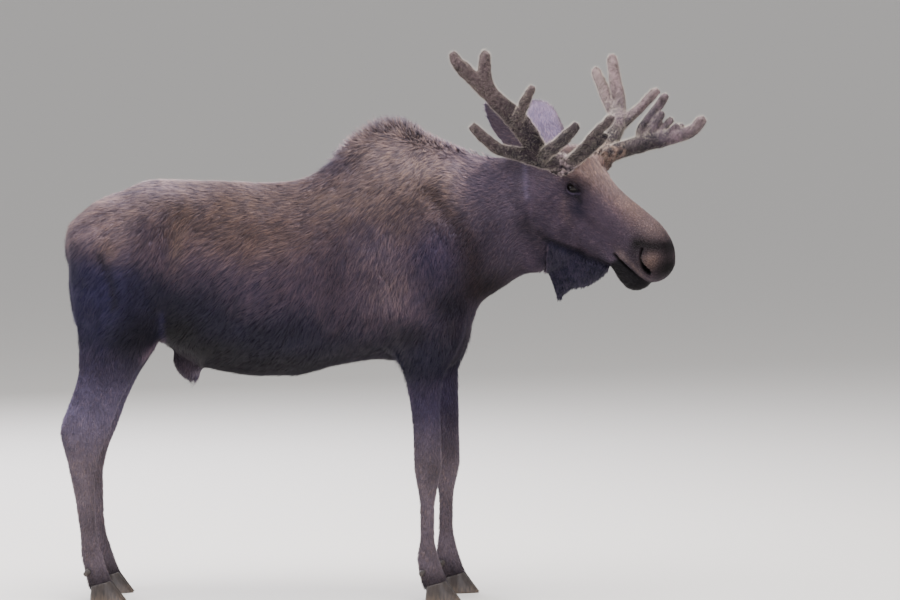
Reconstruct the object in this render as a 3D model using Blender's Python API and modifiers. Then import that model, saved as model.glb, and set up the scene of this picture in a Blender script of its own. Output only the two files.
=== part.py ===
"""A bull moose with antlers in velvet, standing with its head turned to its right. A life-size museum model.

Metres, +Z up. The animal faces +X and its left side is +Y. The outlines below run to the tips of the coat.
The body and the head are each lofted, fused by a voxel remesh and parted by thin cuts. Antlers, ears, eyes
and hooves are made apart and set into sockets cut for them.
"""

import math

import bmesh
import bpy
import numpy as np
from mathutils import Matrix, Vector

# Driving sizes. x runs from the rump to the nose and z up from the ground.
HEAD_YAW = math.radians(-30)
HEAD_PITCH = math.radians(38)
POLL = np.array([2.098, -0.07, 1.78])
LEG_SPREAD = 0.150
FAR_FORELEG_AHEAD = 0.075
FAR_HIND_LEG_AHEAD = 0.015
EYE_RADIUS = 0.024
FORE_CORONET = 1.507
HIND_CORONET = 0.155
CORONET_HEIGHT = 0.075
CORONET_SLOPE = math.radians(14)
TAIL_RADIUS = 0.036
SIDE_NAMES = {-1: "right", 1: "left"}

# Where the body is parted.
THIGH_CUT_AT = (0.197, 0, 1.232)
THIGH_CUT_SLOPE = math.radians(-43)
ELBOW_CUT_HEIGHT = 0.930
KNEE_CUT_HEIGHT = 0.545
HOCK_CUT_HEIGHT = 0.625
GAP = 0.0006
SOCKET_GAP = 0.0007
SIDES = 40

# Fineness: voxel sizes, then the triangles left after decimating.
BODY_VOXEL = 0.013
HEAD_VOXEL = 0.007
ANTLER_VOXEL = 0.006
BODY_TRIANGLES = 2340
HEAD_TRIANGLES = 1380
ANTLER_TRIANGLES = 680
SMALL_TRIANGLES = {"ear": 170, "bell": 100, "tail": 70, "sheath": 70, "dewclaw": 20}

# Side outlines of the trunk and neck as (x, z), and half widths as (x, y).
BACK = [
    (-0.004, 1.47), (0.024, 1.525), (0.07, 1.567), (0.13, 1.613), (0.25, 1.662), (0.37, 1.702), (0.60, 1.697),
    (0.93, 1.698), (1.02, 1.732), (1.12, 1.825), (1.20, 1.893), (1.34, 1.946), (1.48, 1.883), (1.60, 1.832),
    (1.72, 1.800), (1.90, 1.795), (2.10, 1.760),
]
UNDERSIDE = [
    (-0.004, 1.40), (0.03, 1.16), (0.12, 1.06), (0.40, 1.03), (0.47, 0.984), (0.57, 0.932), (0.75, 0.899),
    (0.92, 0.897), (1.12, 0.940), (1.27, 0.960), (1.50, 0.945), (1.60, 0.95), (1.635, 1.03), (1.677, 1.166),
    (1.76, 1.235), (1.85, 1.296), (1.95, 1.33), (2.10, 1.42),
]
HALF_WIDTH = [
    (-0.004, 0.03), (0.03, 0.12), (0.12, 0.185), (0.37, 0.255), (0.60, 0.285), (0.90, 0.315), (1.15, 0.30),
    (1.40, 0.27), (1.58, 0.235), (1.68, 0.195), (1.80, 0.160), (1.92, 0.134), (2.00, 0.105), (2.10, 0.05),
]
# How pointed the back is: 2 is an ellipse and less is a ridge.
RIDGE = [(0.0, 2.1), (0.80, 2.1), (1.10, 1.7), (1.35, 1.45), (1.60, 1.6), (1.80, 1.9), (2.10, 2.1)]
NECK_BEND = [(1.50, 0.0), (1.70, -0.004), (1.85, -0.022), (1.98, -0.055), (2.10, -0.09)]

# Legs as (z, x): the front and back edges, and half widths as (z, y).
HIND_FRONT = [
    (1.62, 0.34), (1.50, 0.41), (1.30, 0.435), (1.16, 0.435), (1.045, 0.389), (0.93, 0.308), (0.80, 0.237),
    (0.69, 0.198), (0.60, 0.160), (0.52, 0.140), (0.38, 0.138), (0.24, 0.150), (0.18, 0.170), (0.12, 0.183),
    (0.05, 0.225),
]
HIND_BACK = [
    (1.62, 0.16), (1.50, 0.03), (1.41, 0.012), (1.21, 0.040), (1.08, 0.058), (0.94, 0.065), (0.88, 0.053),
    (0.80, 0.024), (0.72, -0.010), (0.67, -0.014), (0.61, 0.003), (0.50, 0.030), (0.38, 0.050), (0.24, 0.068),
    (0.18, 0.070), (0.12, 0.090), (0.05, 0.105),
]
HIND_HALF_WIDTH = [
    (1.62, 0.03), (1.45, 0.092), (1.25, 0.108), (1.05, 0.094), (0.90, 0.076), (0.75, 0.060), (0.63, 0.056),
    (0.52, 0.044), (0.38, 0.036), (0.24, 0.037), (0.17, 0.046), (0.05, 0.056),
]
HIND_OUT = [(1.62, 0.08), (1.45, 0.125), (1.25, 0.150), (1.00, 0.152), (0.65, 0.155), (0.05, 0.150)]
FORE_FRONT = [
    (1.78, 1.43), (1.55, 1.54), (1.40, 1.60), (1.25, 1.645), (1.10, 1.635), (1.00, 1.598), (0.90, 1.543),
    (0.78, 1.528), (0.60, 1.533), (0.54, 1.535), (0.46, 1.518), (0.36, 1.506), (0.24, 1.508), (0.17, 1.525),
    (0.11, 1.540), (0.05, 1.580),
]
FORE_BACK = [
    (1.78, 1.30), (1.55, 1.28), (1.30, 1.30), (1.10, 1.315), (1.00, 1.335), (0.90, 1.378), (0.80, 1.398),
    (0.66, 1.410), (0.54, 1.413), (0.46, 1.427), (0.36, 1.437), (0.24, 1.436), (0.17, 1.424), (0.11, 1.440),
    (0.05, 1.455),
]
FORE_HALF_WIDTH = [
    (1.78, 0.04), (1.55, 0.085), (1.25, 0.105), (1.02, 0.090), (0.90, 0.070), (0.75, 0.056), (0.55, 0.052),
    (0.46, 0.043), (0.36, 0.034), (0.24, 0.035), (0.17, 0.045), (0.05, 0.056),
]
FORE_OUT = [(1.78, 0.05), (1.60, 0.115), (1.35, 0.155), (1.10, 0.165), (0.85, 0.158), (0.05, 0.150)]

# The head, along its own axis from the poll to the nose as (s, u), with u out of the forehead.
FOREHEAD = [
    (-0.13, -0.05), (-0.06, 0.012), (0.00, 0.026), (0.09, 0.014), (0.20, 0.006), (0.32, 0.015), (0.40, 0.018),
    (0.46, 0.009), (0.50, -0.006), (0.54, -0.034), (0.57, -0.070), (0.586, -0.10),
]
UPPER_LIP = [
    (-0.13, -0.22), (0.00, -0.25), (0.15, -0.22), (0.30, -0.200), (0.38, -0.196), (0.46, -0.200),
    (0.53, -0.198), (0.560, -0.180), (0.579, -0.150), (0.586, -0.118),
]
HEAD_HALF_WIDTH = [
    (-0.13, 0.095), (-0.04, 0.110), (0.06, 0.118), (0.11, 0.114), (0.18, 0.095), (0.28, 0.076), (0.36, 0.074),
    (0.44, 0.088), (0.50, 0.090), (0.545, 0.078), (0.575, 0.052), (0.586, 0.02),
]
JAW_TOP = [(-0.03, -0.17), (0.10, -0.13), (0.30, -0.16), (0.545, -0.200)]
JAW_BOTTOM = [
    (-0.03, -0.24), (0.04, -0.315), (0.10, -0.327), (0.20, -0.292), (0.30, -0.264), (0.40, -0.262),
    (0.45, -0.272), (0.50, -0.270), (0.53, -0.245), (0.545, -0.215),
]
JAW_HALF_WIDTH = [
    (-0.03, 0.05), (0.06, 0.083), (0.16, 0.078), (0.30, 0.056), (0.45, 0.058), (0.52, 0.048), (0.545, 0.02),
]
BELL_TOP = [(1.955, 1.37), (2.06, 1.44), (2.225, 1.39)]
BELL_BOTTOM = [
    (1.955, 1.335), (1.98, 1.262), (2.002, 1.210), (2.022, 1.228), (2.05, 1.254), (2.13, 1.277),
    (2.18, 1.312), (2.225, 1.360),
]
BELL_HALF_WIDTH = [(1.955, 0.015), (2.00, 0.036), (2.10, 0.048), (2.18, 0.036), (2.225, 0.012)]
MOUTH_CORNER = np.array([0.368, -0.192])
MOUTH_FRONT = np.array([0.640, -0.186])
NECK_END = -0.18
PEDICLE_END = 0.140
EYE_AT = (0.079, 0.103, -0.078)

# The antlers. Each branch runs from root to tip as (ahead, outward, up) from the poll, level with the ground
# but turned with the head, then its half width and how many times it is wider than thick.
BURR = [
    (0.000, 0.112, -0.030, 0.022, 1.0), (-0.002, 0.138, -0.022, 0.026, 1.0),
    (-0.005, 0.150, -0.018, 0.038, 1.0), (-0.010, 0.168, -0.012, 0.040, 1.0),
    (-0.015, 0.190, -0.004, 0.028, 1.0),
]
RIGHT_PALM = [
    [(-0.01, 0.165, -0.01, 0.028, 1.0), (-0.05, 0.26, 0.035, 0.032, 1.0), (-0.066, 0.32, 0.100, 0.038, 1.3),
     (-0.094, 0.38, 0.172, 0.041, 1.7), (-0.160, 0.44, 0.255, 0.031, 1.6), (-0.200, 0.49, 0.320, 0.034, 1.6)],
    [(-0.175, 0.46, 0.28, 0.026, 1.3), (-0.232, 0.53, 0.358, 0.027, 1.3), (-0.262, 0.56, 0.400, 0.020, 1.1),
     (-0.274, 0.57, 0.426, 0.015, 1.0)],
    [(-0.165, 0.46, 0.27, 0.024, 1.2), (-0.170, 0.50, 0.350, 0.022, 1.1), (-0.162, 0.51, 0.428, 0.018, 1.0)],
    [(-0.088, 0.39, 0.150, 0.018, 1.1), (-0.056, 0.42, 0.192, 0.018, 1.1), (-0.010, 0.46, 0.245, 0.016, 1.0),
     (0.042, 0.50, 0.300, 0.0125, 1.0)],
]
RIGHT_REAR_TINE = [
    [(-0.01, 0.17, -0.01, 0.030, 1.0), (-0.05, 0.265, 0.010, 0.029, 1.1), (-0.105, 0.335, 0.032, 0.022, 1.1),
     (-0.150, 0.42, 0.052, 0.019, 1.0), (-0.185, 0.48, 0.100, 0.018, 1.0), (-0.222, 0.50, 0.141, 0.015, 1.0)],
]
RIGHT_FRONT_TINE = [
    [(-0.05, 0.255, 0.010, 0.026, 1.0), (0.017, 0.32, 0.045, 0.020, 1.0), (0.095, 0.36, 0.082, 0.021, 1.0),
     (0.175, 0.38, 0.148, 0.016, 1.0)],
]
RIGHT_BROW = [
    [(0.00, 0.155, -0.02, 0.028, 1.0), (0.07, 0.20, 0.012, 0.019, 1.0), (0.145, 0.25, 0.066, 0.015, 1.0),
     (0.247, 0.31, 0.137, 0.015, 1.0), (0.322, 0.35, 0.184, 0.013, 1.0)],
    [(0.06, 0.18, 0.000, 0.018, 1.0), (0.144, 0.215, 0.046, 0.015, 1.0), (0.245, 0.275, 0.108, 0.014, 1.0)],
]
LEFT_PALM = [
    [(-0.005, 0.165, 0.00, 0.030, 1.0), (0.000, 0.225, 0.045, 0.030, 1.0), (-0.012, 0.28, 0.088, 0.032, 1.3),
     (-0.035, 0.36, 0.135, 0.036, 1.5), (-0.080, 0.44, 0.178, 0.032, 1.6)],
    [(-0.07, 0.42, 0.165, 0.024, 1.3), (-0.118, 0.46, 0.200, 0.022, 1.2), (-0.190, 0.52, 0.275, 0.019, 1.0),
     (-0.245, 0.56, 0.338, 0.015, 1.0)],
    [(-0.06, 0.42, 0.165, 0.025, 1.3), (-0.075, 0.45, 0.215, 0.024, 1.2), (-0.110, 0.48, 0.300, 0.021, 1.0),
     (-0.141, 0.51, 0.393, 0.017, 1.0)],
    [(-0.020, 0.32, 0.105, 0.022, 1.2), (-0.010, 0.40, 0.150, 0.018, 1.0), (0.010, 0.45, 0.185, 0.016, 1.0),
     (0.069, 0.50, 0.260, 0.014, 1.0)],
]
LEFT_BROW = [
    [(0.00, 0.155, 0.0, 0.030, 1.0), (0.065, 0.20, 0.030, 0.031, 1.1), (0.125, 0.26, 0.055, 0.032, 1.3),
     (0.195, 0.30, 0.073, 0.029, 1.4), (0.270, 0.33, 0.090, 0.022, 1.1), (0.325, 0.35, 0.114, 0.019, 1.0),
     (0.350, 0.36, 0.152, 0.017, 1.0)],
    [(0.125, 0.26, 0.055, 0.017, 1.0), (0.112, 0.29, 0.108, 0.016, 1.0), (0.134, 0.33, 0.167, 0.015, 1.0),
     (0.178, 0.37, 0.244, 0.013, 1.0)],
    [(0.150, 0.275, 0.062, 0.017, 1.0), (0.155, 0.31, 0.118, 0.017, 1.0), (0.175, 0.345, 0.172, 0.014, 1.0)],
    [(0.175, 0.290, 0.068, 0.016, 1.0), (0.187, 0.35, 0.120, 0.014, 1.0), (0.195, 0.385, 0.147, 0.013, 1.0)],
    [(0.210, 0.305, 0.075, 0.015, 1.0), (0.252, 0.33, 0.124, 0.013, 1.0)],
    [(0.235, 0.315, 0.080, 0.014, 1.0), (0.258, 0.37, 0.128, 0.011, 1.0)],
]
# Where each branch is cut from the burr: the place and the way the branch goes there.
ANTLER_CUTS = {
    "right": {
        "palm": ((-0.066, 0.318, 0.092), (-0.02, 0.07, 0.075), 0.104),
        "rear_tine": ((-0.100, 0.328, 0.029), (-0.055, 0.07, 0.022), 0.070),
        "front_tine": ((0.008, 0.312, 0.040), (0.067, 0.06, 0.035), 0.066),
        "brow": ((0.046, 0.183, 0.000), (0.07, 0.05, 0.03), 0.084),
    },
    "left": {
        "palm": ((-0.012, 0.275, 0.084), (-0.01, 0.07, 0.055), 0.098),
        "brow": ((0.078, 0.211, 0.034), (0.065, 0.05, 0.025), 0.110),
    },
}

# The ears, as shares of their length from root to tip.
EAR_ROOT = (-0.125, 0.080, -0.040)
EAR_TIPS = {"right": (-0.312, 0.25, 0.225), "left": (-0.370, 0.25, 0.224)}
EAR_HALF_WIDTH = [(0, 0.028), (0.18, 0.044), (0.45, 0.067), (0.72, 0.062), (0.90, 0.037), (1.0, 0.006)]
EAR_SPREAD = {"right": [(0, 1.10), (0.20, 1.30), (0.40, 1.30), (0.80, 1.05), (1.0, 1.0)], "left": [(0, 1.12), (1.0, 1.12)]}
EAR_DEPTH = [(0, 0.028), (0.20, 0.034), (0.50, 0.028), (0.80, 0.016), (1.0, 0.003)]
EAR_HOLLOW = [(0, 0.0), (0.16, 0.3), (0.32, 1.2), (0.70, 1.15), (1.0, 1.0)]

# The feet. Each claw is an outline on the ground that narrows up to the coronet.
CLAW_LENGTH = 0.150
CLAW_HALF_WIDTH = 0.030
CLAW_SPLAY = math.radians(5)
CLAW_BETWEEN = 0.0335
DEWCLAW_RADIUS = 0.017
DEWCLAW_HEIGHT = 0.125

COAT = (0.105, 0.085, 0.078, 1.0)
DARK_COAT = (0.035, 0.033, 0.045, 1.0)
VELVET = (0.115, 0.090, 0.090, 1.0)
EYE = (0.010, 0.008, 0.008, 1.0)
HORN = (0.045, 0.040, 0.038, 1.0)


def start_scene():
    """Removes what the scene holds and makes the collections for the parts and the cutters."""
    for old in list(bpy.data.objects):
        bpy.data.objects.remove(old, do_unlink=True)
    parts = bpy.data.collections.new("moose")
    cutters = bpy.data.collections.new("cutters")
    for made in (parts, cutters):
        bpy.context.scene.collection.children.link(made)
    return parts, cutters


def through(points):
    """A smooth line through the points, given as (where, value), that doesn't overshoot them."""
    where, value = np.array(sorted(points)).T
    step = np.diff(where)
    slope = np.diff(value) / step
    tangent = np.concatenate([slope[:1], (slope[1:] + slope[:-1]) / 2, slope[-1:]])
    turns = slope[1:] * slope[:-1] <= 0
    tangent[1:-1][turns] = 0.0

    def read(at):
        at = np.clip(at, where[0], where[-1])
        i = np.clip(np.searchsorted(where, at) - 1, 0, len(step) - 1)
        t = (at - where[i]) / step[i]
        return (
            (2 * t**3 - 3 * t**2 + 1) * value[i]
            + (t**3 - 2 * t**2 + t) * step[i] * tangent[i]
            + (3 * t**2 - 2 * t**3) * value[i + 1]
            + (t**3 - t**2) * step[i] * tangent[i + 1]
        )

    return read


def ring(centre, across, upward, half_width, above, below, powers=(2.0, 2.0), sides=SIDES):
    """A closed section round the centre: half a superellipse above it and half below."""
    angle = np.linspace(0, 2 * np.pi, sides, endpoint=False)
    c, s = np.cos(angle), np.sin(angle)
    power = np.where(s > 0, powers[0], powers[1])
    sideways = half_width * np.sign(c) * np.abs(c) ** (2 / power)
    height = np.where(s > 0, above, below) * np.sign(s) * np.abs(s) ** (2 / power)
    return np.asarray(centre) + np.outer(sideways, across) + np.outer(height, upward)


def mesh_object(name, collection, points, faces):
    mesh = bpy.data.meshes.new(name)
    mesh.from_pydata(points, [], faces)
    made = bpy.data.objects.new(name, mesh)
    collection.objects.link(made)
    shape = bmesh.new()
    shape.from_mesh(mesh)
    bmesh.ops.recalc_face_normals(shape, faces=shape.faces)
    shape.to_mesh(mesh)
    shape.free()
    return made


def loft(rings):
    """The points and faces of a closed skin over the rings."""
    count, sides = len(rings), len(rings[0])
    points = np.concatenate([*rings, [rings[0].mean(axis=0)], [rings[-1].mean(axis=0)]])
    here = np.arange(sides)
    ahead = np.roll(here, -1)
    faces = []
    for i in range(count - 1):
        low, high = i * sides, (i + 1) * sides
        faces += np.stack([low + here, low + ahead, high + ahead, high + here], axis=1).tolist()
    first, last, end = count * sides, count * sides + 1, (count - 1) * sides
    faces += [[first, int(b), int(a)] for a, b in zip(here, ahead)]
    faces += [[last, end + int(a), end + int(b)] for a, b in zip(here, ahead)]
    return points, faces


def joined(name, collection, lofts):
    """One object that holds several closed skins."""
    points, faces, start = [], [], 0
    for some_points, some_faces in lofts:
        points.append(some_points)
        faces += [[start + i for i in face] for face in some_faces]
        start += len(some_points)
    return mesh_object(name, collection, np.concatenate(points), faces)


def applied(obj):
    """Replaces the object's mesh by what its modifiers make of it."""
    graph = bpy.context.evaluated_depsgraph_get()
    mesh = bpy.data.meshes.new_from_object(obj.evaluated_get(graph))
    obj.modifiers.clear()
    old, obj.data = obj.data, mesh
    bpy.data.meshes.remove(old)
    return obj


def thinned(obj, triangles):
    """Leaves about this many triangles."""
    obj.data.calc_loop_triangles()
    decimate = obj.modifiers.new("Decimate", "DECIMATE")
    decimate.ratio = triangles / len(obj.data.loop_triangles)
    return applied(obj)


def fused(obj, voxel, smoothing, triangles):
    """Joins the object's skins into one, smooths the joins and thins it."""
    remesh = obj.modifiers.new("Fuse", "REMESH")
    remesh.mode = "VOXEL"
    remesh.voxel_size = voxel
    smooth = obj.modifiers.new("Smooth joins", "SMOOTH")
    smooth.iterations = smoothing
    return thinned(applied(obj), triangles)


def turned(yaw, pitch=0.0):
    """Columns are ahead, left and up for something turned by yaw and then dipped by pitch."""
    return np.array(Matrix.Rotation(yaw, 3, "Z") @ Matrix.Rotation(pitch, 3, "Y"))


HEAD_AXES = turned(HEAD_YAW, HEAD_PITCH)
HEAD_LEVEL = turned(HEAD_YAW)


def on_head(s, left, u):
    return POLL + HEAD_AXES @ np.array([s, left, u])


def by_poll(ahead, left, up):
    """A place given level with the ground but turned with the head."""
    return POLL + HEAD_LEVEL @ np.array([ahead, left, up])


def trunk_skin(start=BACK[0][0]):
    """The trunk and neck from this x on to inside the head."""
    back, under, width, ridge, bend = map(through, (BACK, UNDERSIDE, HALF_WIDTH, RIDGE, NECK_BEND))
    rings = []
    stations = np.concatenate([np.linspace(-0.004, 0.06, 6), np.linspace(0.09, 2.10, 60)])
    for x in stations[stations >= start]:
        top, bottom = back(x), under(x)
        widest = bottom + 0.48 * (top - bottom)
        above, below, powers = top - widest, widest - bottom, (ridge(x), 2.1)
        rings.append(ring((x, bend(x), widest), (0, 1, 0), (0, 0, 1), width(x), above, below, powers))
    return loft(rings)


def leg_skin(front, back, half_width, out, side, ahead):
    """A leg from its edges. The leg on the left is a little ahead below the trunk."""
    front_edge, back_edge, width, outward = map(through, (front, back, half_width, out))
    rings = []
    for z in np.linspace(front[0][0], 0.05, 64):
        start, end = back_edge(z), front_edge(z)
        shift = ahead * np.clip((1.30 - z) / 0.5, 0, 1)
        reach = (end - start) / 2
        centre = (start + reach + shift, side * outward(z), z)
        rings.append(ring(centre, (0, 1, 0), (1, 0, 0), width(z), reach, reach, (2.2, 1.9)))
    return loft(rings)


def along_head(top, bottom, half_width, stations, widest_at, powers):
    """A loft in the head's own middle plane, between its top and bottom lines."""
    top, bottom, width = map(through, (top, bottom, half_width))
    rings = []
    for s in stations:
        high, low = top(s), bottom(s)
        widest = low + widest_at * (high - low)
        centre = on_head(s, 0, widest)
        rings.append(ring(centre, *HEAD_AXES.T[1:], width(s), high - widest, widest - low, powers))
    return loft(rings)


def bump(start, end, radius, blunt=0.92):
    """A rounded swelling between two points."""
    start, end = np.array(start), np.array(end)
    forward = (end - start) / np.linalg.norm(end - start)
    across = np.cross(forward, (0.3, 0.2, 1.0))
    across /= np.linalg.norm(across)
    rings = []
    for t in np.linspace(-1, 1, 10):
        size = radius * math.sqrt(1 - t * t * blunt)
        centre = (start + end) / 2 + (end - start) / 2 * t
        rings.append(ring(centre, across, np.cross(across, forward), size, size, size))
    return loft(rings)


def head_skins():
    """The upper head with the muzzle, the lower jaw, the brows, the pedicles and the end of the neck."""
    nose = np.concatenate([np.linspace(-0.13, 0.50, 34), np.linspace(0.51, FOREHEAD[-1][0], 12)])
    skins = [
        along_head(FOREHEAD, UPPER_LIP, HEAD_HALF_WIDTH, nose, 0.58, (2.3, 2.2)),
        along_head(JAW_TOP, JAW_BOTTOM, JAW_HALF_WIDTH, np.linspace(-0.03, 0.545, 30), 0.5, (2.2, 2.2)),
        trunk_skin(1.80),
    ]
    for side in (-1, 1):
        skins.append(bump(on_head(0.015, side * 0.088, -0.026), on_head(0.135, side * 0.086, -0.036), 0.027))
        skins.append(bump(by_poll(0, side * 0.02, -0.045), by_poll(-0.003, side * 0.160, -0.018), 0.038, 0.5))
    return skins


def branch(points, side):
    """A tine, beam or palm. Its flat faces look out and down, and its tip is round."""
    stations = np.array(points) * (1, side, 1, 1, 1)
    along = np.concatenate([[0], np.cumsum(np.linalg.norm(np.diff(stations[:, :3], axis=0), axis=1))])
    lines = [through(list(zip(along, column))) for column in stations.T]
    places = np.linspace(0, along[-1], 14)
    path = np.array([[line(at) for line in lines] for at in places])
    end_way = path[-1, :3] - path[-2, :3]
    end_way /= np.linalg.norm(end_way)
    for angle in np.radians([35, 65, 85]):
        tip = path[13].copy()
        tip[:3] += end_way * tip[3] * math.sin(angle)
        tip[3] *= math.cos(angle)
        path = np.vstack([path, tip])
    outward = np.array([0.25, side, -0.55])
    rings = []
    for (*centre, radius, flat), way in zip(path, np.gradient(path[:, :3], axis=0)):
        forward = way / np.linalg.norm(way)
        thin = outward - forward * (outward @ forward)
        thin /= np.linalg.norm(thin)
        wide = HEAD_LEVEL @ np.cross(thin, forward)
        thick = radius / flat
        rings.append(ring(by_poll(*centre), wide, HEAD_LEVEL @ thin, radius, thick, thick, sides=24))
    return loft(rings)


def box(name, collection, centre, axes, size):
    """A box of this size on these axes, for a cut."""
    bpy.ops.mesh.primitive_cube_add(size=1)
    made = bpy.context.active_object
    made.name = name
    move_to(made, collection)
    turn = Matrix(np.asarray(axes).tolist()).to_4x4()
    made.matrix_world = Matrix.Translation(Vector(centre)) @ turn @ Matrix.Diagonal((*size, 1))
    return hidden(made)


def move_to(obj, collection):
    for old in obj.users_collection:
        old.objects.unlink(obj)
    collection.objects.link(obj)


def hidden(obj):
    """Marks a helper, so that it isn't a part."""
    obj.hide_render = True
    obj.display_type = "WIRE"
    return obj


def cut(obj, *cutters):
    """Takes away what each cutter, or each one in a collection of them, fills."""
    for cutter in cutters:
        boolean = obj.modifiers.new("Cut", "BOOLEAN")
        boolean.solver = "EXACT"
        if isinstance(cutter, bpy.types.Collection):
            boolean.operand_type = "COLLECTION"
            boolean.collection = cutter
        else:
            boolean.object = cutter
    return applied(obj)


def group(name, parent):
    made = bpy.data.collections.new(name)
    parent.children.link(made)
    return made


def room_for(name, cutters):
    """A copy of the part grown by the gap that touching pieces keep, to cut its neighbour with."""
    obj = bpy.data.objects[name]
    copy = obj.copy()
    copy.data = obj.data.copy()
    copy.name = f"{name}_room"
    cutters.objects.link(copy)
    grow = copy.modifiers.new("Gap", "DISPLACE")
    grow.strength = SOCKET_GAP
    grow.mid_level = 0
    return hidden(applied(copy))


def bodies_of(shape):
    """The loose bodies of a bmesh, each as a set of its points."""
    left = set(shape.verts)
    while left:
        body, edge = set(), [left.pop()]
        while edge:
            vert = edge.pop()
            body.add(vert)
            found = {line.other_vert(vert) for line in vert.link_edges} & left
            left -= found
            edge += found
        yield body


def parted(obj, seeds, collection):
    """Splits the object into its loose bodies and names each by the seed point that lies nearest to it."""
    shape = bmesh.new()
    shape.from_mesh(obj.data)
    for body in bodies_of(shape):
        points = np.array([vert.co for vert in body])
        name = min(seeds, key=lambda seed: np.linalg.norm(points - np.array(seeds[seed]), axis=1).min())
        order = {vert: i for i, vert in enumerate(body)}
        faces = [[order[vert] for vert in face.verts] for face in shape.faces if face.verts[0] in body]
        mesh_object(name, collection, points.tolist(), faces)
    shape.free()
    bpy.data.objects.remove(obj)


def slope_axes(angle):
    """Axes whose first column rises ahead at this angle."""
    return np.array(Matrix.Rotation(-angle, 3, "Y"))


def slab_below(name, cutters, point, angle, size):
    """A box whose top face passes through the point at this slope."""
    axes = slope_axes(angle)
    return box(name, cutters, np.array(point) - axes[:, 2] * size[2] / 2, axes, size)


def legs_ahead(side):
    """How far ahead of the outlines this side's hind leg and foreleg stand."""
    far = side > 0
    return far * FAR_HIND_LEG_AHEAD, far * FAR_FORELEG_AHEAD


def foot_places(side):
    """The x of each of this side's coronets, by the name of the foot."""
    hind, fore = legs_ahead(side)
    here = SIDE_NAMES[side]
    return {f"fore_{here}": FORE_CORONET + fore, f"hind_{here}": HIND_CORONET + hind}


def body_cuts(cutters):
    """Thin slabs that part the body, and boxes that take away what the head and the hooves fill."""
    level = np.eye(3)
    box("past_neck", cutters, by_poll(NECK_END + 1, 0, -0.2), HEAD_LEVEL, (2.0 + GAP, 1.4, 1.6))
    box("neck_cut", cutters, (1.585, 0, 1.53), slope_axes(math.radians(-70)), (1.3, 0.8, GAP))
    box("thigh_cut", cutters, THIGH_CUT_AT, slope_axes(THIGH_CUT_SLOPE), (0.704, 0.9, GAP))
    slab_below("between_legs", cutters, THIGH_CUT_AT, THIGH_CUT_SLOPE, (0.704, GAP, 0.40))
    box("elbow_cut", cutters, (1.515, 0, ELBOW_CUT_HEIGHT), level, (0.42, 0.7, GAP))
    for side, here in SIDE_NAMES.items():
        y = side * LEG_SPREAD
        box(f"knee_cut_{here}", cutters, (1.50, y, KNEE_CUT_HEIGHT), level, (0.4, 0.24, GAP))
        box(f"hock_cut_{here}", cutters, (0.10, y, HOCK_CUT_HEIGHT), level, (0.4, 0.24, GAP))
        for foot, x in foot_places(side).items():
            coronet = (x, y, CORONET_HEIGHT + GAP)
            slab_below(f"under_{foot}", cutters, coronet, CORONET_SLOPE, (0.4, 0.24, 0.2))


def make_body(parts, cutters):
    skins = [trunk_skin()]
    for side in SIDE_NAMES:
        hind, fore = legs_ahead(side)
        skins.append(leg_skin(HIND_FRONT, HIND_BACK, HIND_HALF_WIDTH, HIND_OUT, side, hind))
        skins.append(leg_skin(FORE_FRONT, FORE_BACK, FORE_HALF_WIDTH, FORE_OUT, side, fore))
    body = fused(joined("body", parts, skins), BODY_VOXEL, 6, BODY_TRIANGLES)
    own = group("body_cutters", cutters)
    body_cuts(own)
    cut(body, own)
    seeds = {"trunk": (0.9, 0.31, 1.3), "neck": (1.80, 0.16, 1.55)}
    for side, here in SIDE_NAMES.items():
        hind, fore = legs_ahead(side)
        y = side * LEG_SPREAD
        seeds[f"hind_leg_{here}"] = (0.10 + hind, y, 0.80)
        seeds[f"hind_cannon_{here}"] = (0.10 + hind, y, 0.36)
        seeds[f"foreleg_{here}"] = (1.46 + fore, y, 0.75)
        seeds[f"fore_cannon_{here}"] = (1.47 + fore, y, 0.34)
    parted(body, seeds, parts)


def make_head(parts, cutters):
    head = fused(joined("skull", parts, head_skins()), HEAD_VOXEL, 5, HEAD_TRIANGLES)
    own = group("head_cutters", cutters)
    box("behind_head", own, by_poll(NECK_END - 1, 0, -0.2), HEAD_LEVEL, (2.0 + GAP, 1.4, 1.6))
    for side, here in SIDE_NAMES.items():
        beyond = by_poll(0, side * (PEDICLE_END + 0.2), 0)
        box(f"beyond_pedicle_{here}", own, beyond, HEAD_LEVEL, (0.14, 0.4 + GAP, 0.16))
    mouth = MOUTH_FRONT - MOUTH_CORNER
    length = np.linalg.norm(mouth)
    along = HEAD_AXES @ np.array([mouth[0], 0, mouth[1]]) / length
    axes = np.stack([along, HEAD_AXES[:, 1], np.cross(along, HEAD_AXES[:, 1])], axis=1)
    middle_s, middle_u = (MOUTH_FRONT + MOUTH_CORNER) / 2
    box("mouth", own, on_head(middle_s, 0, middle_u), axes, (length + GAP, 0.4, GAP))
    box("jaw_cut", own, on_head(MOUTH_CORNER[0], 0, MOUTH_CORNER[1] - 0.1), HEAD_AXES, (GAP, 0.4, 0.2))
    cut(head, own)
    parted(head, {"head": on_head(0.3, 0, 0.015), "lower_jaw": on_head(0.46, 0, -0.272)}, parts)


def make_eyes(parts, cutters):
    ahead, outward, up = EYE_AT
    for side, here in SIDE_NAMES.items():
        bpy.ops.mesh.primitive_uv_sphere_add(segments=12, ring_count=8, radius=EYE_RADIUS)
        eye = bpy.context.active_object
        eye.name = f"eye_{here}"
        move_to(eye, parts)
        eye.location = on_head(ahead, side * outward, up)
        eye.rotation_euler = (math.radians(90), 0, HEAD_YAW)
        bpy.context.view_layer.update()
        cut(bpy.data.objects["head"], room_for(eye.name, cutters))


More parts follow.
